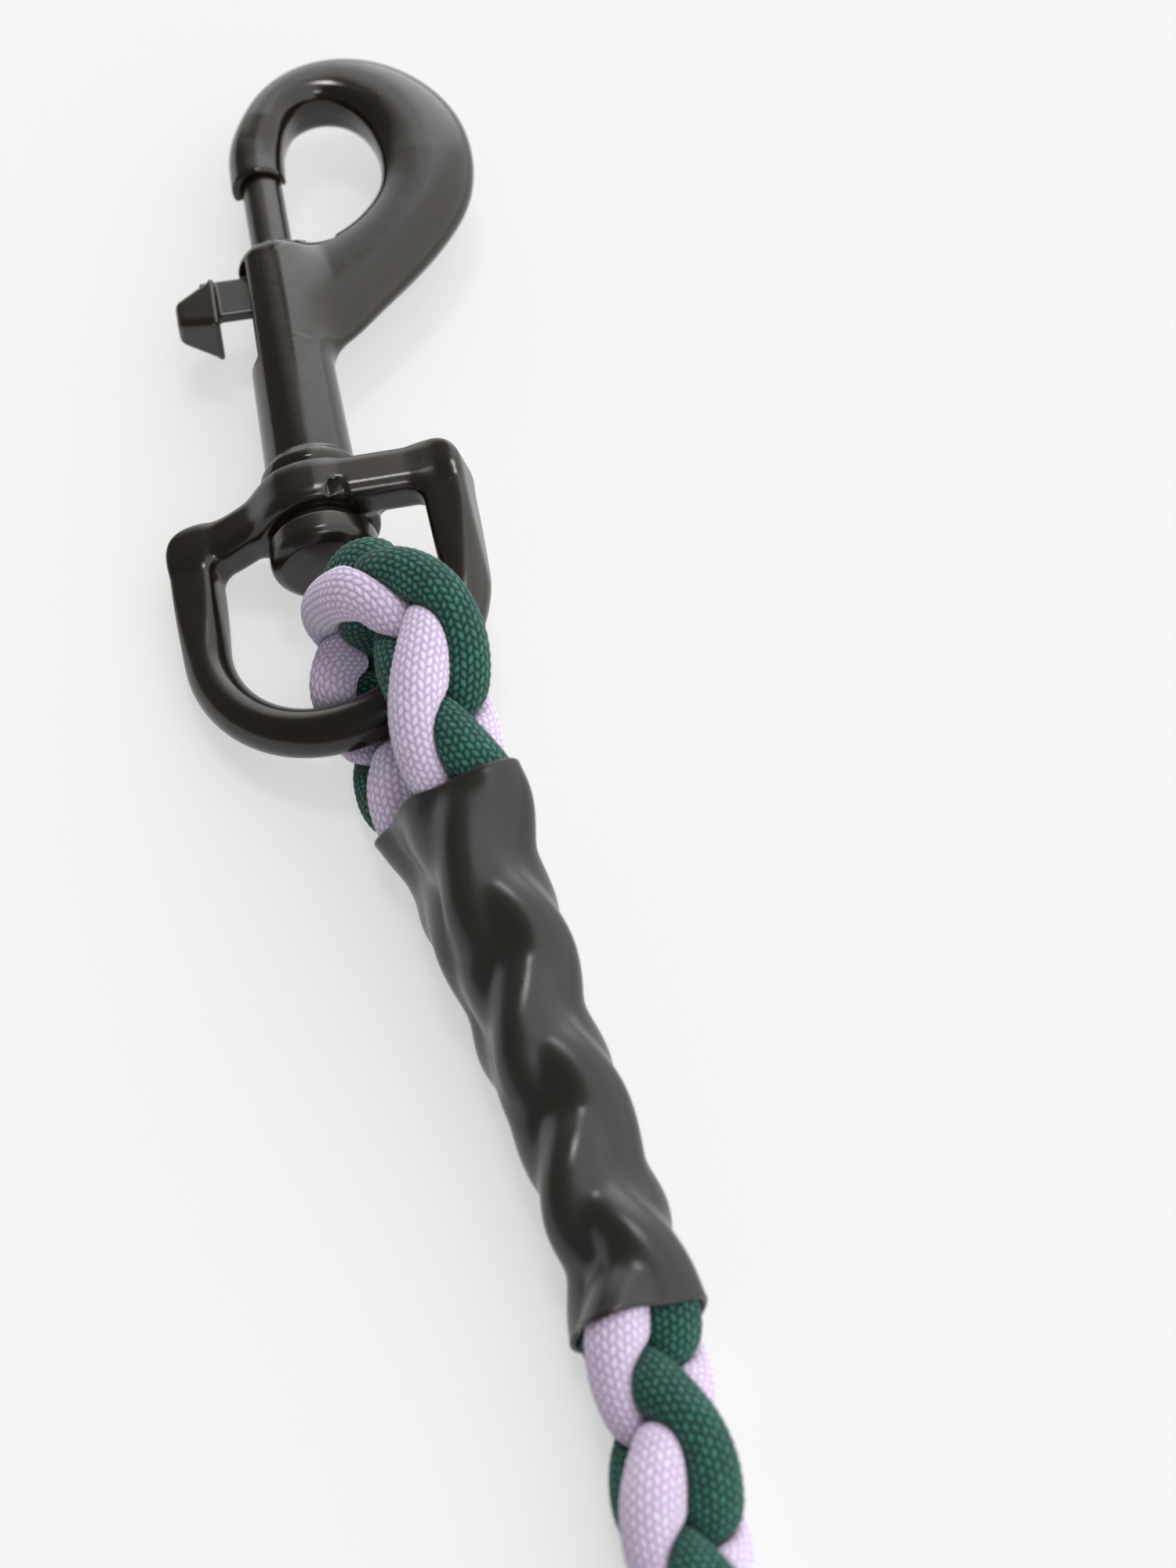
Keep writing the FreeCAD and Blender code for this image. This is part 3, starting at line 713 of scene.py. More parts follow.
def hook_body():
    low, high = (-9.5, 1.5, -8.6), (34.5, 90.5, 8.6)
    x, y, z = axes(low, high, VOXEL)
    r = np.sqrt(x ** 2 + z ** 2)
    d = hook_arm(x, y, z)
    # nothing of the arm stands between the barrel's end and the nose, whose tip is a
    # hood over the bolt, open below
    d = cut(d, box(x, y - 55.0, z, half=(9.0, 7.2, 12), edge=0.1), 0.55)
    hood = np.maximum(np.maximum(z + 0.7 - 0.28 * x, x - 7.0), y - 64.9 - 0.12 * x)
    d = cut(d, np.maximum(hood, 57.0 - y), 0.4)
    # barrel and the flange at its swivel end
    narrowing = np.clip((y - BARREL_TAPER_FROM) / BARREL_TAPER_LENGTH, 0, 1)
    taper = BARREL_R + (BARREL_END_R - BARREL_R) * narrowing
    d = join(d, disc(r - taper + 6.0, y, radius=6.0, low=5.0, high=48.0, edge=2.7), 3.2)
    d = join(d, disc(r, y, radius=7.1, low=3.3, high=6.6, edge=1.25), 0.9)
    # bolt bore, rivet hole, and the bolt's socket in the nose
    d = cut(d, np.maximum(r - BORE_R, np.maximum(15.4 - y, y - 49.5)), 0.35)
    d = np.maximum(d, -np.maximum(r - RIVET_BORE_R, y - 15.6))
    d = cut(d, np.maximum(r - BORE_R, np.maximum(58.0 - y, y - 65.2)), 0.25)
    # flat recess on the barrel's -X side, and the thumb button's slot in it
    d = cut(d, box(x + 8.2, y - 35.8, z, half=(4.7, 9.5, 3.2), edge=0.5), 0.35)
    d = cut(d, box(x + 5.0, y - 35.7, z, half=(5.0, 9.1, 1.1), edge=0.25), 0.25)
    return skin("hook_body_cast", d, low, VOXEL)


# ----------------------------------------------------------------------- swivel eye
EYE_TOP = 3.1               # y where bridge and boss end
BOSS_R, EYE_BORE_R, BOSS_RISE = 8.15, 3.35, 4.7


def swivel_eye():
    """Bow, bridge and boss, made flat and then tilted."""
    low, high = (-23.2, -40.0, -9.6), (23.2, 5.0, 9.9)
    x, y, z = axes(low, high, VOXEL)
    ring = np.sqrt(x ** 2 + (y - LEG_END) ** 2) - BOW_R
    inplane = np.where(y < LEG_END, ring, np.abs(x) - BOW_R)
    above = np.maximum(y - 0.5, 0)
    power = 2 + 2.6 * ease(-19.0, -5.0, y)      # round in the bow, squarer up the legs
    bar = (np.abs(inplane) ** power + np.abs(z) ** power + above ** power
           + 1e-9) ** (1 / power) - BAR_R
    # the bridge's upper bar climbs to the boss: straight at +X, hollow at -X
    rise = BOSS_RISE * np.where(x > 0, np.clip(1 - (x - 2.5) / 15.5, 0, 1),
                                np.clip(1 - (-x - 2.5) / 13.5, 0, 1) ** 1.7)
    # a step thickens the bar towards -Y over part of its +X side
    front = 0.5 * ease(6.0, 6.5, x) * (1 - ease(15.0, 18.0, x))
    upper = box(x, y + 0.25 + front / 2, z - rise, half=(21.4, 3.3 + front / 2, 3.2), edge=2.0)
    lower = box(x, y - 0.7, z + 0.1, half=(19.5, 1.9, 3.1), edge=0.7)
    bridge = join(upper * 0.93, lower, 0.5)
    d = join(bar, bridge, 1.8)
    # sides cut flat, shoulders rounded
    d = trim(d, np.abs(x) - 21.45, 0.5)
    shoulder = np.abs(x) - 16.9
    corner = np.sqrt(np.maximum(shoulder, 0) ** 2 + np.maximum(y + 1.5, 0) ** 2) - 4.5
    flat = np.maximum(np.abs(x) - 21.4, y - 3.0)
    d = trim(d, np.where((np.abs(x) > 16.9) & (y > -1.5), corner, flat), 0.5)
    r = np.sqrt(x ** 2 + z ** 2)
    boss = disc(r, y, radius=BOSS_R, low=-3.5, high=EYE_TOP, edge=0.8)
    d = join(d, boss, 1.8 - 0.8 * ease(-2, 3, x))
    # a shallow mark beside the boss
    d = cut(d, box(x - 5.2, y + 2.6, z - 7.0, half=(1.5, 1.4, 0.22), edge=0.1), 0.3)
    d = trim(d, y - EYE_TOP, 0.5)
    d = np.maximum(d, -np.maximum(r - EYE_BORE_R, -5.0 - y))
    return skin("swivel_eye_cast", d, low, VOXEL, turn=tilt)


# ------------------------------------------------------- thumb button, turned parts
# (radius, y) round each turned part
RIVET = [
    (0.02, -9.6), (5.9, -9.6), (7.0, -8.9), (7.35, -8.2), (7.35, -5.6), (6.9, -5.0),
    (6.3, -4.9), (6.3, -3.75), (3.2, -3.72), (3.2, 15.3), (0.02, 15.3),
]
BOLT = [(0.02, 31.5), (2.4, 31.5), (2.98, 32.1), (2.98, 63.6), (2.1, 64.5), (0.02, 64.5)]
SPRING_Y0, SPRING_Y1, SPRING_R, WIRE_R, SPRING_TURNS = 15.9, 31.2, 1.95, 0.3, 8


def thumb_button():
    """A flat stem through the slot, with a knob that narrows towards -X."""
    voxel = 0.14
    edge = 1.1
    low, high = (-15.8, 33.5, -6.4), (2.6, 46.5, 5.2)
    x, y, z = axes(low, high, voxel)
    stem = box(x + 5.0, y - 41.0, z, half=(6.2, 3.4, 0.85), edge=0.3)
    out = np.clip((-x - 9.7) / 5.4, 0, 1)       # 0 at the stem, 1 at the knob's end
    half_y, half_z = 4.4 - 2.2 * out, 4.0 - 1.9 * out
    centre_y, centre_z = 39.2 - 0.2 * out, -1.5 + 0.4 * out
    side = rounded_distance(np.abs(y - centre_y) - half_y + edge,
                            np.abs(z - centre_z) - half_z + edge, edge=edge)
    knob = trim(side * 0.92, np.abs(x + 12.1) - 2.9, 0.9)
    lip = box(x + 9.5, y - 39.2, z + 1.5, half=(0.4, 4.3, 3.95), edge=0.38)
    knob = join(knob, lip, 0.3)
    return skin("thumb_button_cast", join(stem, knob, 0.6), low, voxel)


def rounded(profile, radius, steps=4, spacing=1.2):
    """The profile with each inner corner cut round, then filled with closer points."""
    p = np.array(profile, float)
    out = [p[0]]
    for i in range(1, len(p) - 1):
        back, on = p[i - 1] - p[i], p[i + 1] - p[i]
        back_length, on_length = np.linalg.norm(back), np.linalg.norm(on)
        k = min(radius, back_length * 0.45, on_length * 0.45)
        start, end = p[i] + back / back_length * k, p[i] + on / on_length * k
        for t in np.linspace(0, 1, steps + 1):
            out.append((1 - t) ** 2 * start + 2 * t * (1 - t) * p[i] + t * t * end)
    out.append(p[-1])
    dense = [out[0]]
    for a, b in zip(out[:-1], out[1:]):
        count = max(1, int(np.linalg.norm(b - a) / spacing))
        for t in np.arange(1, count + 1) / count:
            dense.append(a * (1 - t) + b * t)
    return np.array(dense)


def lathe(name, profile, radius):
    """A solid turned about the Y axis, its profile's corners rounded."""
    p = rounded(profile, radius)
    a = circle(128)
    return tube(name, np.stack([p[:, 0:1] * np.cos(a), np.repeat(p[:, 1:2], len(a), 1),
                                -p[:, 0:1] * np.sin(a)], axis=-1))


def spring():
    count = SPRING_TURNS * 40
    t = np.arange(count + 1) / count
    a = 2 * np.pi * SPRING_TURNS * t
    centre = np.stack([SPRING_R * np.cos(a), SPRING_Y0 + (SPRING_Y1 - SPRING_Y0) * t,
                       SPRING_R * np.sin(a)], 1)
    heading = unit(np.gradient(centre, axis=0))
    outward = unit(np.stack([np.cos(a), 0 * a, np.sin(a)], 1))
    wire = spokes(circle(12), outward, np.cross(heading, outward))
    return tube("bolt_spring_coil", centre[:, None] + WIRE_R * wire)


# -------------------------------------------------------------------------- sleeves
WALL = 0.8                      # shrink sleeve's film
MOUTH_Y, MOUTH_SLANT = -51.4, -2.0
SLEEVE_END_Y = -118.6
SLEEVE_POINTS, SLEEVE_STEP = 192, 0.3
END_SLEEVE_LENGTH, END_HALF, END_CORNER = 34.0, 6.62, 6.9


def cord_crossings(centre, heading, across, upward):
    """Where the cords pass through the plane at centre, in its own two axes."""
    points = []
    for cord in CORDS:
        for c in (cord[:TOP], cord[TOP: TOP + int(170 / STEP)]):
            ahead = (c - centre) @ heading
            crossings = np.nonzero((ahead[:-1] < 0) != (ahead[1:] < 0))[0]
            for k in crossings[:3]:
                f = ahead[k] / (ahead[k] - ahead[k + 1])
                offset = c[k] * (1 - f) + c[k + 1] * f - centre
                points.append((offset @ across, offset @ upward))
    return np.array(points)


def sleeve_reach(angle, heading, across, upward):
    """Inner radius of the film: between the cords' own outline and its convex hull."""
    rays = np.stack([np.cos(angle), np.sin(angle)], 1)
    hull_angle = circle(96)
    hull_ways = np.stack([np.cos(hull_angle), np.sin(hull_angle)], 1)
    lean = np.cos(hull_angle[None, :] - angle[:, None])
    radius = CORD_R + 0.05
    reach = np.zeros((len(SLEEVE_LINE), len(angle)))
    for k, centre in enumerate(SLEEVE_LINE):
        points = cord_crossings(centre, heading[k], across[k], upward[k])
        off = np.abs(points[:, :1] * rays[:, 1] - points[:, 1:] * rays[:, 0])
        chord = np.sqrt(np.maximum(radius ** 2 - off ** 2, 0))
        outline = np.where(off < radius, points @ rays.T + chord, 0).max(0)
        support = (points @ hull_ways.T).max(0) + radius
        hull = np.where(lean > 0.05, support[None, :] / np.maximum(lean, 0.05), 1e9).min(1)
        # nearer the hull about the mouth
        share = 0.38 + 0.42 * math.exp(-((centre[1] + 52.0) / 12.0) ** 2)
        reach[k] = np.maximum(outline, 2.0) * (1 - share) + hull * share
    return blur(reach, 2.6, 2.4)


def sleeve():
    """The film shrunk round both legs of the rope."""
    heading = unit(np.gradient(SLEEVE_LINE, axis=0))
    across = unit(-np.cross(heading, np.array([0, 0, 1.0])))
    upward = np.cross(across, heading)
    upward *= np.sign(upward[:, 2:3])
    angle = circle(SLEEVE_POINTS)
    reach = sleeve_reach(angle, heading, across, upward)
    at = run_length(SLEEVE_LINE)
    # the mouth is cut aslant, further back high up than low down; both edges waver
    start_y = MOUTH_Y + MOUTH_SLANT * np.sin(angle) + 0.45 * np.sin(3 * angle + 0.6)
    end_y = SLEEVE_END_Y + 0.35 * np.sin(2 * angle + 1.0) + 0.25 * np.sin(5 * angle)
    start, end = (np.interp(-y, -SLEEVE_LINE[:, 1], at) for y in (start_y, end_y))
    rows = int((end.mean() - start.mean()) / SLEEVE_STEP)
    t = np.linspace(0, 1, rows)[:, None]
    along = start[None, :] * (1 - t) + end[None, :] * t
    place = np.interp(along, at, np.arange(len(at)))
    k = np.clip(place.astype(int), 0, len(at) - 2)
    f = place - k
    column = np.arange(SLEEVE_POINTS)[None, :]
    reach = reach[k, column] * (1 - f) + reach[k + 1, column] * f
    centre, across, upward = (v[k] * (1 - f[..., None]) + v[k + 1] * f[..., None]
                              for v in (SLEEVE_LINE, across, upward))
    rays = (np.cos(angle)[None, :, None] * across + np.sin(angle)[None, :, None] * upward)
    from_end, from_mouth = end[None, :] - along, along - start[None, :]
    # small dents of the shrunk film
    rng = np.random.default_rng(5)
    dents = rng.normal(size=(rows // 12 + 4, SLEEVE_POINTS // 8))
    dents = np.repeat(np.repeat(dents, 12, 0), 8, 1)[:rows, :SLEEVE_POINTS]
    dents = blur(dents, 7, 5)
    dents = dents / np.abs(dents).max()
    reach = reach + 0.12 * dents + 0.30 * np.exp(-(from_mouth / 7.0) ** 2)
    flare = 0.25 * np.exp(-from_end / 0.9) + 0.20 * np.exp(-from_mouth / 0.8)
    outer = centre + rays * (reach + WALL + flare)[..., None]
    inner = centre + rays * (reach + flare - 0.02)[..., None]
    return film_mesh("heat_shrink_film", outer, inner, (heading[k[0]], heading[k[-1]]),
                     lip_rows=5, bulge=WALL / 2)


def end_sleeve():
    """The film round the coil's inner end, square with rounded corners."""
    last = len(LINE) - 1
    stations = np.arange(last - int(END_SLEEVE_LENGTH / STEP), last + 1, 2)
    angle = circle(128)
    aside = unit(np.cross(HEADING[stations], np.array([0, 0, 1.0])))
    square = END_HALF / (np.abs(np.cos(angle)) ** 4 + np.abs(np.sin(angle)) ** 4) ** 0.25
    centre = LINE[stations]
    along = ALONG[stations][:, None]
    bumps = (0.22 * np.cos(4 * angle[None, :] + 2 * np.pi * along / PERIOD * 2)
             * np.sin(2 * np.pi * along / PERIOD))
    reach = np.minimum(square, END_CORNER)[None, :] + bumps - 0.2
    rays = spokes(angle, aside, np.array([[0, 0, 1.0]]))
    outer = centre[:, None] + rays * (reach + 0.4)[..., None]
    inner = centre[:, None] + rays * (reach - 0.15)[..., None]
    return film_mesh("end_sleeve_film", outer, inner,
                     (HEADING[stations[0]], HEADING[stations[-1]]), lip_rows=4, bulge=0.28)


# ------------------------------------------------------------------- shader helpers
def operator(operation, swapped=False):
    def apply(self, other):
        pair = (other, self) if swapped else (self, other)
        return self.shader.math(operation, *pair)
    return apply


class Value:
    """A shader socket to do arithmetic with; each operation is one Math node."""
    def __init__(self, shader, socket):
        self.shader, self.socket = shader, socket

    __add__, __radd__ = operator("ADD"), operator("ADD", swapped=True)
    __sub__, __rsub__ = operator("SUBTRACT"), operator("SUBTRACT", swapped=True)
    __mul__ = operator("MULTIPLY")
    __pow__ = operator("POWER")
    __gt__, __lt__ = operator("GREATER_THAN"), operator("LESS_THAN")

    def __abs__(self):
        return self.shader.math("ABSOLUTE", self)


class Shader:
    """A new material with one Principled node, and short ways to feed it."""
    def __init__(self, name):
        self.material = bpy.data.materials.new(name)
        self.material.use_nodes = True
        self.tree = self.material.node_tree
        self.tree.nodes.clear()
        out = self.node("OutputMaterial")
        self.surface = self.node("BsdfPrincipled")
        self.tree.links.new(self.surface.outputs[0], out.inputs[0])

    def node(self, kind):
        return self.tree.nodes.new("ShaderNode" + kind)

    def put(self, socket, value):
        if isinstance(value, Value):
            self.tree.links.new(value.socket, socket)
        elif isinstance(value, tuple) and len(socket.default_value) == 4:
            socket.default_value = (*value, 1)
        else:
            socket.default_value = value

    def math(self, operation, *values):
        node = self.node("Math")
        node.operation = operation
        for socket, value in zip(node.inputs, values):
            self.put(socket, value)
        return Value(self, node.outputs[0])

    def floor(self, value):
        return self.math("FLOOR", value)

    def noise(self, vector, scale, detail=3.0, roughness=0.5):
        node = self.node("TexNoise")
        self.put(node.inputs["Vector"], vector)
        node.inputs["Scale"].default_value = scale
        node.inputs["Detail"].default_value = detail
        node.inputs["Roughness"].default_value = roughness
        return Value(self, node.outputs["Fac"])

    def ramp(self, factor, stops):
        node = self.node("ValToRGB")
        elements = node.color_ramp.elements
        while len(elements) > 1:
            elements.remove(elements[0])
        elements[0].position, elements[0].color = stops[0][0], (*stops[0][1], 1)
        for position, colour in stops[1:]:
            elements.new(position).color = (*colour, 1)
        self.put(node.inputs[0], factor)
        return Value(self, node.outputs[0])

    def mix(self, factor, a, b):
        node = self.node("Mix")
        node.data_type = "RGBA"
        for k, value in ((0, factor), (6, a), (7, b)):
            self.put(node.inputs[k], value)
        return Value(self, node.outputs[2])

    def position(self):
        return Value(self, self.node("TexCoord").outputs["Object"])

    def xyz(self, vector):
        node = self.node("SeparateXYZ")
        self.put(node.inputs[0], vector)
        return [Value(self, socket) for socket in node.outputs]

    def scaled(self, vector, factors):
        node = self.node("VectorMath")
        node.operation = "MULTIPLY"
        self.put(node.inputs[0], vector)
        node.inputs[1].default_value = factors
        return Value(self, node.outputs[0])

    def bump(self, height, distance=0.001):
        node = self.node("Bump")
        node.inputs["Strength"].default_value = 1.0
        node.inputs["Distance"].default_value = distance
        self.put(node.inputs["Height"], height)
        return Value(self, node.outputs[0])

    def finish(self, **inputs):
        """Sets Principled inputs, underscores standing for spaces."""
        for name, value in inputs.items():
            self.put(self.surface.inputs[name.replace("_", " ")], value)
        return self.material


def times(colour, factor):
    return tuple(c * factor for c in colour)


# ------------------------------------------------------------------------ materials
# light and mid tone of the stitches, the darker tone of the gaps, strength of sheen; by stitch
# height the light tone is painted light on the tops and the gap tone painted shade in the gaps
CORD_TONES_AND_PAINTED_SHADE = {
    "lavender": ((0.80, 0.73, 0.85), (0.70, 0.61, 0.76), (0.50, 0.40, 0.60), 0.25),
    "green": ((0.054, 0.200, 0.158), (0.025, 0.108, 0.085), (0.005, 0.031, 0.027), 0.12),
}
COATING = (0.0082, 0.0053, 0.0026)
DUST, SCRATCH = (0.22, 0.21, 0.19), (0.16, 0.155, 0.15)
PARTING_HALF = 0.00022          # half width of the moulding line, metres
FILM = (0.018, 0.0160, 0.0135)
TABLE_TONES = (0.30, 0.30, 0.298), (0.33, 0.33, 0.328)
TABLE_GLOW = 0.543


def cord_material(name, light, mid, gap, sheen, stitch_bump):
    """Plaited sheath: the pattern of stitch() drawn from the stitch UVs, with painted shade in
    the gaps between stitches and painted light on their tops.
    """
    s = Shader(name)
    uv = s.node("UVMap")
    uv.uv_map = "stitch"
    u, v, _ = s.xyz(Value(s, uv.outputs[0]))
    column = s.floor(u)
    odd = s.math("MODULO", column + 64.0, 2.0)      # 64 keeps it above zero
    x = u - column - 0.5
    slant = 1.0 - odd * 2.0
    row = v + slant * 0.5 * x + odd * 0.5
    part = row - s.floor(row)
    across_height = 1.0 - abs(x * 2.0) ** 2.4
    along_height = 1.0 - abs(part * 2.0 - 1.0) ** 2.2
    height = across_height * along_height
    position = s.position()
    # yarns running across each stitch: their slope, then how close they lie
    yarn_place = x * 1.0 - slant * part * 0.25
    yarn = s.math("SINE", yarn_place * 26.0)
    fuzz = s.noise(position, scale=2600.0, detail=2.0)
    patch = s.noise(position, scale=160.0, detail=2.0)
    random = s.node("TexWhiteNoise")
    random.noise_dimensions = "2D"
    combine = s.node("CombineXYZ")
    s.put(combine.inputs[0], column)
    s.put(combine.inputs[1], s.floor(row))
    s.put(random.inputs["Vector"], Value(s, combine.outputs[0]))
    each = Value(s, random.outputs["Value"])
    # share of each effect in the tone, measured from its own middle; the stitch height's share is
    # painted light and shade
    tone_and_painted_shade = height * 0.80 + ((fuzz - 0.5) * 0.30 + (
        (each - 0.5) * 0.16 + (yarn * 0.035 + (patch - 0.35) * 0.30)))
    # the ramp follows stitch height: the gaps get the dark tone as painted shade, the stitch tops
    # the light tone as painted light
    colour = s.ramp(tone_and_painted_shade, [(0.0, gap), (0.30, gap), (0.58, mid), (0.95, light)])
    relief = height * stitch_bump + (fuzz * 0.05 + yarn * 0.012)
    return s.finish(Base_Color=colour, Roughness=0.82, Normal=s.bump(relief),
                    Sheen_Weight=sheen, Sheen_Roughness=0.45, Specular_IOR_Level=0.25)


def coating(name, roughness=0.13, parting=False, coat=0.10):
    """Dark glossy coating with orange peel, dust, fine scratches and, if asked for, a
    parting line at z = 0."""
    s = Shader(name)
    position = s.position()
    peel = s.noise(position, scale=420.0)
    fine = s.noise(position, scale=3200.0, detail=2.0)
    wear = s.noise(position, scale=60.0, detail=5.0, roughness=0.6)
    cells = s.node("TexVoronoi")
    s.put(cells.inputs["Vector"], position)
    cells.inputs["Scale"].default_value = 520.0
    # a dot in the middle of a few cells only
    dot = Value(s, cells.outputs["Distance"]) < 0.045
    dust = dot * (s.xyz(Value(s, cells.outputs["Color"]))[0] > 0.82)
    streak = s.noise(s.scaled(position, (1.0, 0.06, 0.5)), scale=2600.0, detail=2.0)
    scratch = (streak > 0.70) * (wear > 0.60)
    # how strongly each shows in colour, then roughness, then height in mm
    colour = s.mix(peel * 0.6, COATING, times(COATING, 1.7))
    colour = s.mix(dust * 0.55, colour, DUST)
    colour = s.mix(scratch * 0.10, colour, SCRATCH)
    rough = roughness + ((wear - 0.5) * 0.14 + (dust * 0.3 + scratch * 0.12))
    height = peel * 0.030 + (fine * 0.0035 + dust * 0.02)
    if parting:
        off = abs(s.xyz(position)[2]) * (1 / PARTING_HALF)
        height = height + (1.0 - s.math("MINIMUM", off, 1.0)) * 0.05
    return s.finish(Base_Color=colour, Roughness=rough, Normal=s.bump(height),
                    Specular_IOR_Level=0.5, Coat_Weight=coat, Coat_Roughness=0.10)


def film(name):
    """Dark shrunk film, clouded and a little smeared."""
    s = Shader(name)
    position = s.position()
    grain = s.noise(position, scale=2400.0)
    cloud = s.noise(position, scale=110.0, detail=4.0)
    smear = s.noise(s.scaled(position, (1.0, 0.35, 1.0)), scale=260.0)
    # base roughness 0.30, then the share of smear and grain
    rough = 0.30 + ((smear - 0.5) * 0.22 + (grain - 0.5) * 0.08)
    return s.finish(Base_Color=s.mix(cloud, times(FILM, 0.75), times(FILM, 1.35)),
                    Roughness=rough, Normal=s.bump(grain * 0.008 + smear * 0.05),
                    Specular_IOR_Level=0.5)


def steel(name):
    s = Shader(name)
    grain = s.noise(s.position(), scale=900.0)
    return s.finish(Base_Color=s.mix(grain, (0.30, 0.29, 0.28), (0.50, 0.49, 0.47)),
                    Metallic=1.0, Roughness=0.25 + grain * 0.2,
                    Normal=s.bump(grain, distance=0.00002))


def table_paint(name):
    s = Shader(name)
    position = s.position()
    grain = s.noise(position, scale=900.0)
    cloud = s.noise(position, scale=3.0)
    return s.finish(Base_Color=s.mix(cloud * 0.6, *TABLE_TONES), Roughness=0.85,
                    Normal=s.bump(grain, distance=0.00004), Specular_IOR_Level=0.15,
                    Emission_Color=(1.0, 1.0, 0.995), Emission_Strength=TABLE_GLOW)


SNAP_COAT = coating("snap_coat", parting=True)
EYE_COAT = coating("eye_coat", roughness=0.22)
BOLT_COAT = coating("bolt_coat", roughness=0.26, coat=0.2)
SPRING_WIRE = steel("spring_wire")
SHRINK_FILM = film("shrink_film")
CORD_PAINT = {
    (colour, part): cord_material(f"{colour}_{part}", *CORD_TONES_AND_PAINTED_SHADE[colour], stitch_bump)
    for part, stitch_bump in (("near", 0.03), ("far", 0.16)) for colour in CORD_TONES_AND_PAINTED_SHADE}


# --------------------------------------------------------------------------- pieces
def dress(obj, material, slot, *nodes):
    obj.data.materials.clear()
    obj.data.materials.append(material)
    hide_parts(*nodes)
    return obj


def cord(number, colour, base):
    """One cord: the detailed part round the eye, then the coiled part."""
    obj = tube(base + "_eye", *cord_rings(number, near_places(8 + 3 * number), NEAR_POINTS,
                                          far=False))
    dress(obj, CORD_PAINT[colour, "near"], "cord_" + colour,
          base + "_eye_sheath", base + "_eye_core")
    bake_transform(obj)
    places = np.arange(NEAR_END - 3, len(LINE) - 8, FAR_STEP / STEP)
    obj = tube(base + "_standing", *cord_rings(number, places, FAR_POINTS, far=True))
    dress(obj, CORD_PAINT[colour, "far"], "cord_" + colour, base + "_sheath", base + "_core")
    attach(obj, "standing_rope")


for number, (colour, which) in enumerate(
        (("lavender", 1), ("lavender", 2), ("green", 1), ("green", 2))):
    cord(number, colour, f"cord_{colour}_{which}")

obj = dress(sleeve(), SHRINK_FILM, "shrink_sleeve", "heat_shrink_sleeve")
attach(obj, "spliced_eye")
obj = dress(end_sleeve(), SHRINK_FILM, "shrink_sleeve", "end_sleeve")
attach(obj, "standing_rope")
obj = dress(hook_body(), SNAP_COAT, "snap_coating", "hook_body")
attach(obj, "snap")
obj = dress(swivel_eye(), EYE_COAT, "snap_coating", "swivel_eye")
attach(obj, "eye")
obj = dress(lathe("swivel_rivet_turned", RIVET, radius=0.4), EYE_COAT, "snap_coating",
            "swivel_rivet")
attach(obj, "snap")
obj = dress(spring(), SPRING_WIRE, "spring_steel", "bolt_spring")
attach(obj, "snap")
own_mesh(obj)
obj = dress(lathe("bolt_turned", BOLT, radius=0.35), BOLT_COAT, "bolt_coating", "bolt")
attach(obj, "latch")
obj = dress(thumb_button(), BOLT_COAT, "bolt_coating", "thumb_button")
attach(obj, "latch")


def table(half=5.0, count=60):
    """A flat grid, half its width in metres, just under the rope."""
    side = np.linspace(-half, half, count)
    x, y = np.meshgrid(side, side, indexing="ij")
    co = np.stack([x, y, np.full_like(x, (FLOOR - 0.02) / 1000)], -1).reshape(-1, 3)
    i = (np.arange(count - 1)[:, None] * count + np.arange(count - 1)[None, :]).ravel()
    obj = build("table_top", co, np.stack([i, i + count, i + count + 1, i + 1], 1))
    obj.data.materials.append(table_paint("table_paint"))


table()

# ---------------------------------------------------------------------------- light
# bright patches of sky: direction, degrees within which full, beyond which none, gain
LOBES = [
    ((1.0, 0.0, 0.16), 73.0, 87.0, 1.40),
    ((0.10, 1.0, 0.22), 14.0, 42.0, 1.80),
    ((0.0, 0.35, 0.93), 3.0, 8.0, 18.0),
    ((0.05, -0.66, 0.75), 4.0, 9.0, 8.0),
]
AMBIENT = 0.17              # light from everywhere else
BACKDROP = 0.905            # what the camera sees instead
SKY_COLOUR = (1.0, 0.995, 0.985, 1)


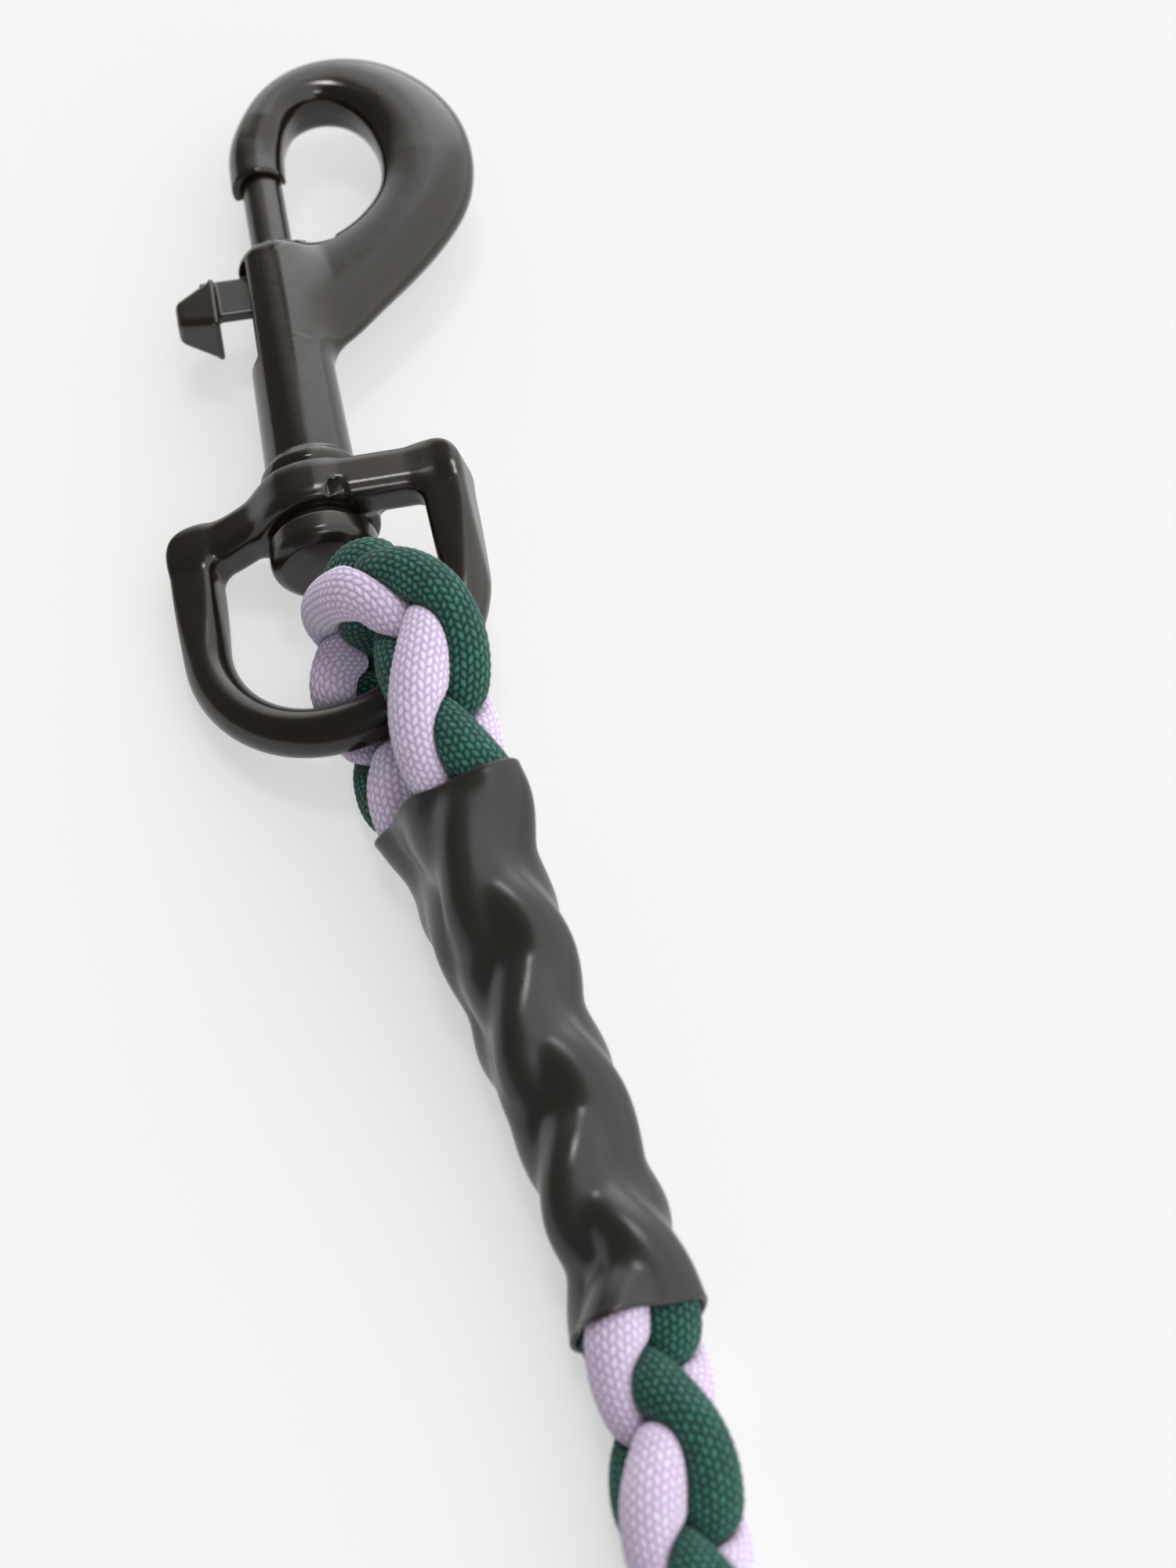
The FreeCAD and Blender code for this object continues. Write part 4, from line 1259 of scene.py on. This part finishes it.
def studio():
    world = bpy.data.worlds.new("studio")
    world.use_nodes = True
    nodes, links = world.node_tree.nodes, world.node_tree.links
    background = nodes["Background"]
    coordinates = nodes.new("ShaderNodeTexCoord")

    def add(socket, value):
        node = nodes.new("ShaderNodeMath")
        node.operation = "ADD"
        links.new(socket, node.inputs[0])
        if isinstance(value, float):
            node.inputs[1].default_value = value
        else:
            links.new(value, node.inputs[1])
        return node.outputs[0]

    total = None
    for direction, inner, outer, gain in LOBES:
        dot = nodes.new("ShaderNodeVectorMath")
        dot.operation = "DOT_PRODUCT"
        links.new(coordinates.outputs["Generated"], dot.inputs[0])
        dot.inputs[1].default_value = tuple(unit(np.array(direction)))
        lobe = nodes.new("ShaderNodeMapRange")
        lobe.interpolation_type = "SMOOTHSTEP"
        lobe.inputs["From Min"].default_value = math.cos(math.radians(outer))
        lobe.inputs["From Max"].default_value = math.cos(math.radians(inner))
        lobe.inputs["To Min"].default_value = 0.0
        lobe.inputs["To Max"].default_value = gain
        links.new(dot.outputs["Value"], lobe.inputs["Value"])
        total = lobe.outputs[0] if total is None else add(total, lobe.outputs[0])
    total = add(total, AMBIENT)
    path = nodes.new("ShaderNodeLightPath")
    seen = nodes.new("ShaderNodeMix")
    seen.data_type = "FLOAT"
    links.new(path.outputs["Is Camera Ray"], seen.inputs[0])
    links.new(total, seen.inputs[2])
    seen.inputs[3].default_value = BACKDROP
    background.inputs[0].default_value = SKY_COLOUR
    links.new(seen.outputs[0], background.inputs[1])
    bpy.context.scene.world = world


studio()

# --------------------------------------------------------------------------- camera
CAMERA_AT = metres([-6.0199, -216.7426, 262.4373])
YAW, PITCH, ROLL = 0.196645, 0.993897, 0.006615     # radians; pitch is downwards
FOCUS = 0.325               # metres


def camera():
    data = bpy.data.cameras.new("main_camera")
    data.sensor_width = 36.0
    data.lens = 57.6
    data.clip_start = 0.01
    obj = bpy.data.objects.new("main_camera", data)
    bpy.context.scene.collection.objects.link(obj)
    forward = np.array([math.sin(YAW) * math.cos(PITCH), math.cos(YAW) * math.cos(PITCH),
                        -math.sin(PITCH)])
    right = np.array([math.cos(YAW), -math.sin(YAW), 0])
    up = np.cross(right, forward)
    matrix = np.eye(4)
    matrix[:3, 0] = math.cos(ROLL) * right + math.sin(ROLL) * up
    matrix[:3, 1] = -math.sin(ROLL) * right + math.cos(ROLL) * up
    matrix[:3, 2] = -forward
    matrix[:3, 3] = CAMERA_AT
    obj.matrix_world = Matrix(matrix.tolist())
    focus = bpy.data.objects.new("focus_point", None)
    bpy.context.scene.collection.objects.link(focus)
    focus.location = tuple(float(q) for q in CAMERA_AT + FOCUS * forward)
    data.dof.use_dof = True
    data.dof.focus_distance = FOCUS
    data.dof.focus_object = focus
    data.dof.aperture_fstop = 18.0
    bpy.context.scene.camera = obj


camera()
bpy.context.scene.view_settings.view_transform = "Standard"
bpy.context.scene.view_settings.look = "None"
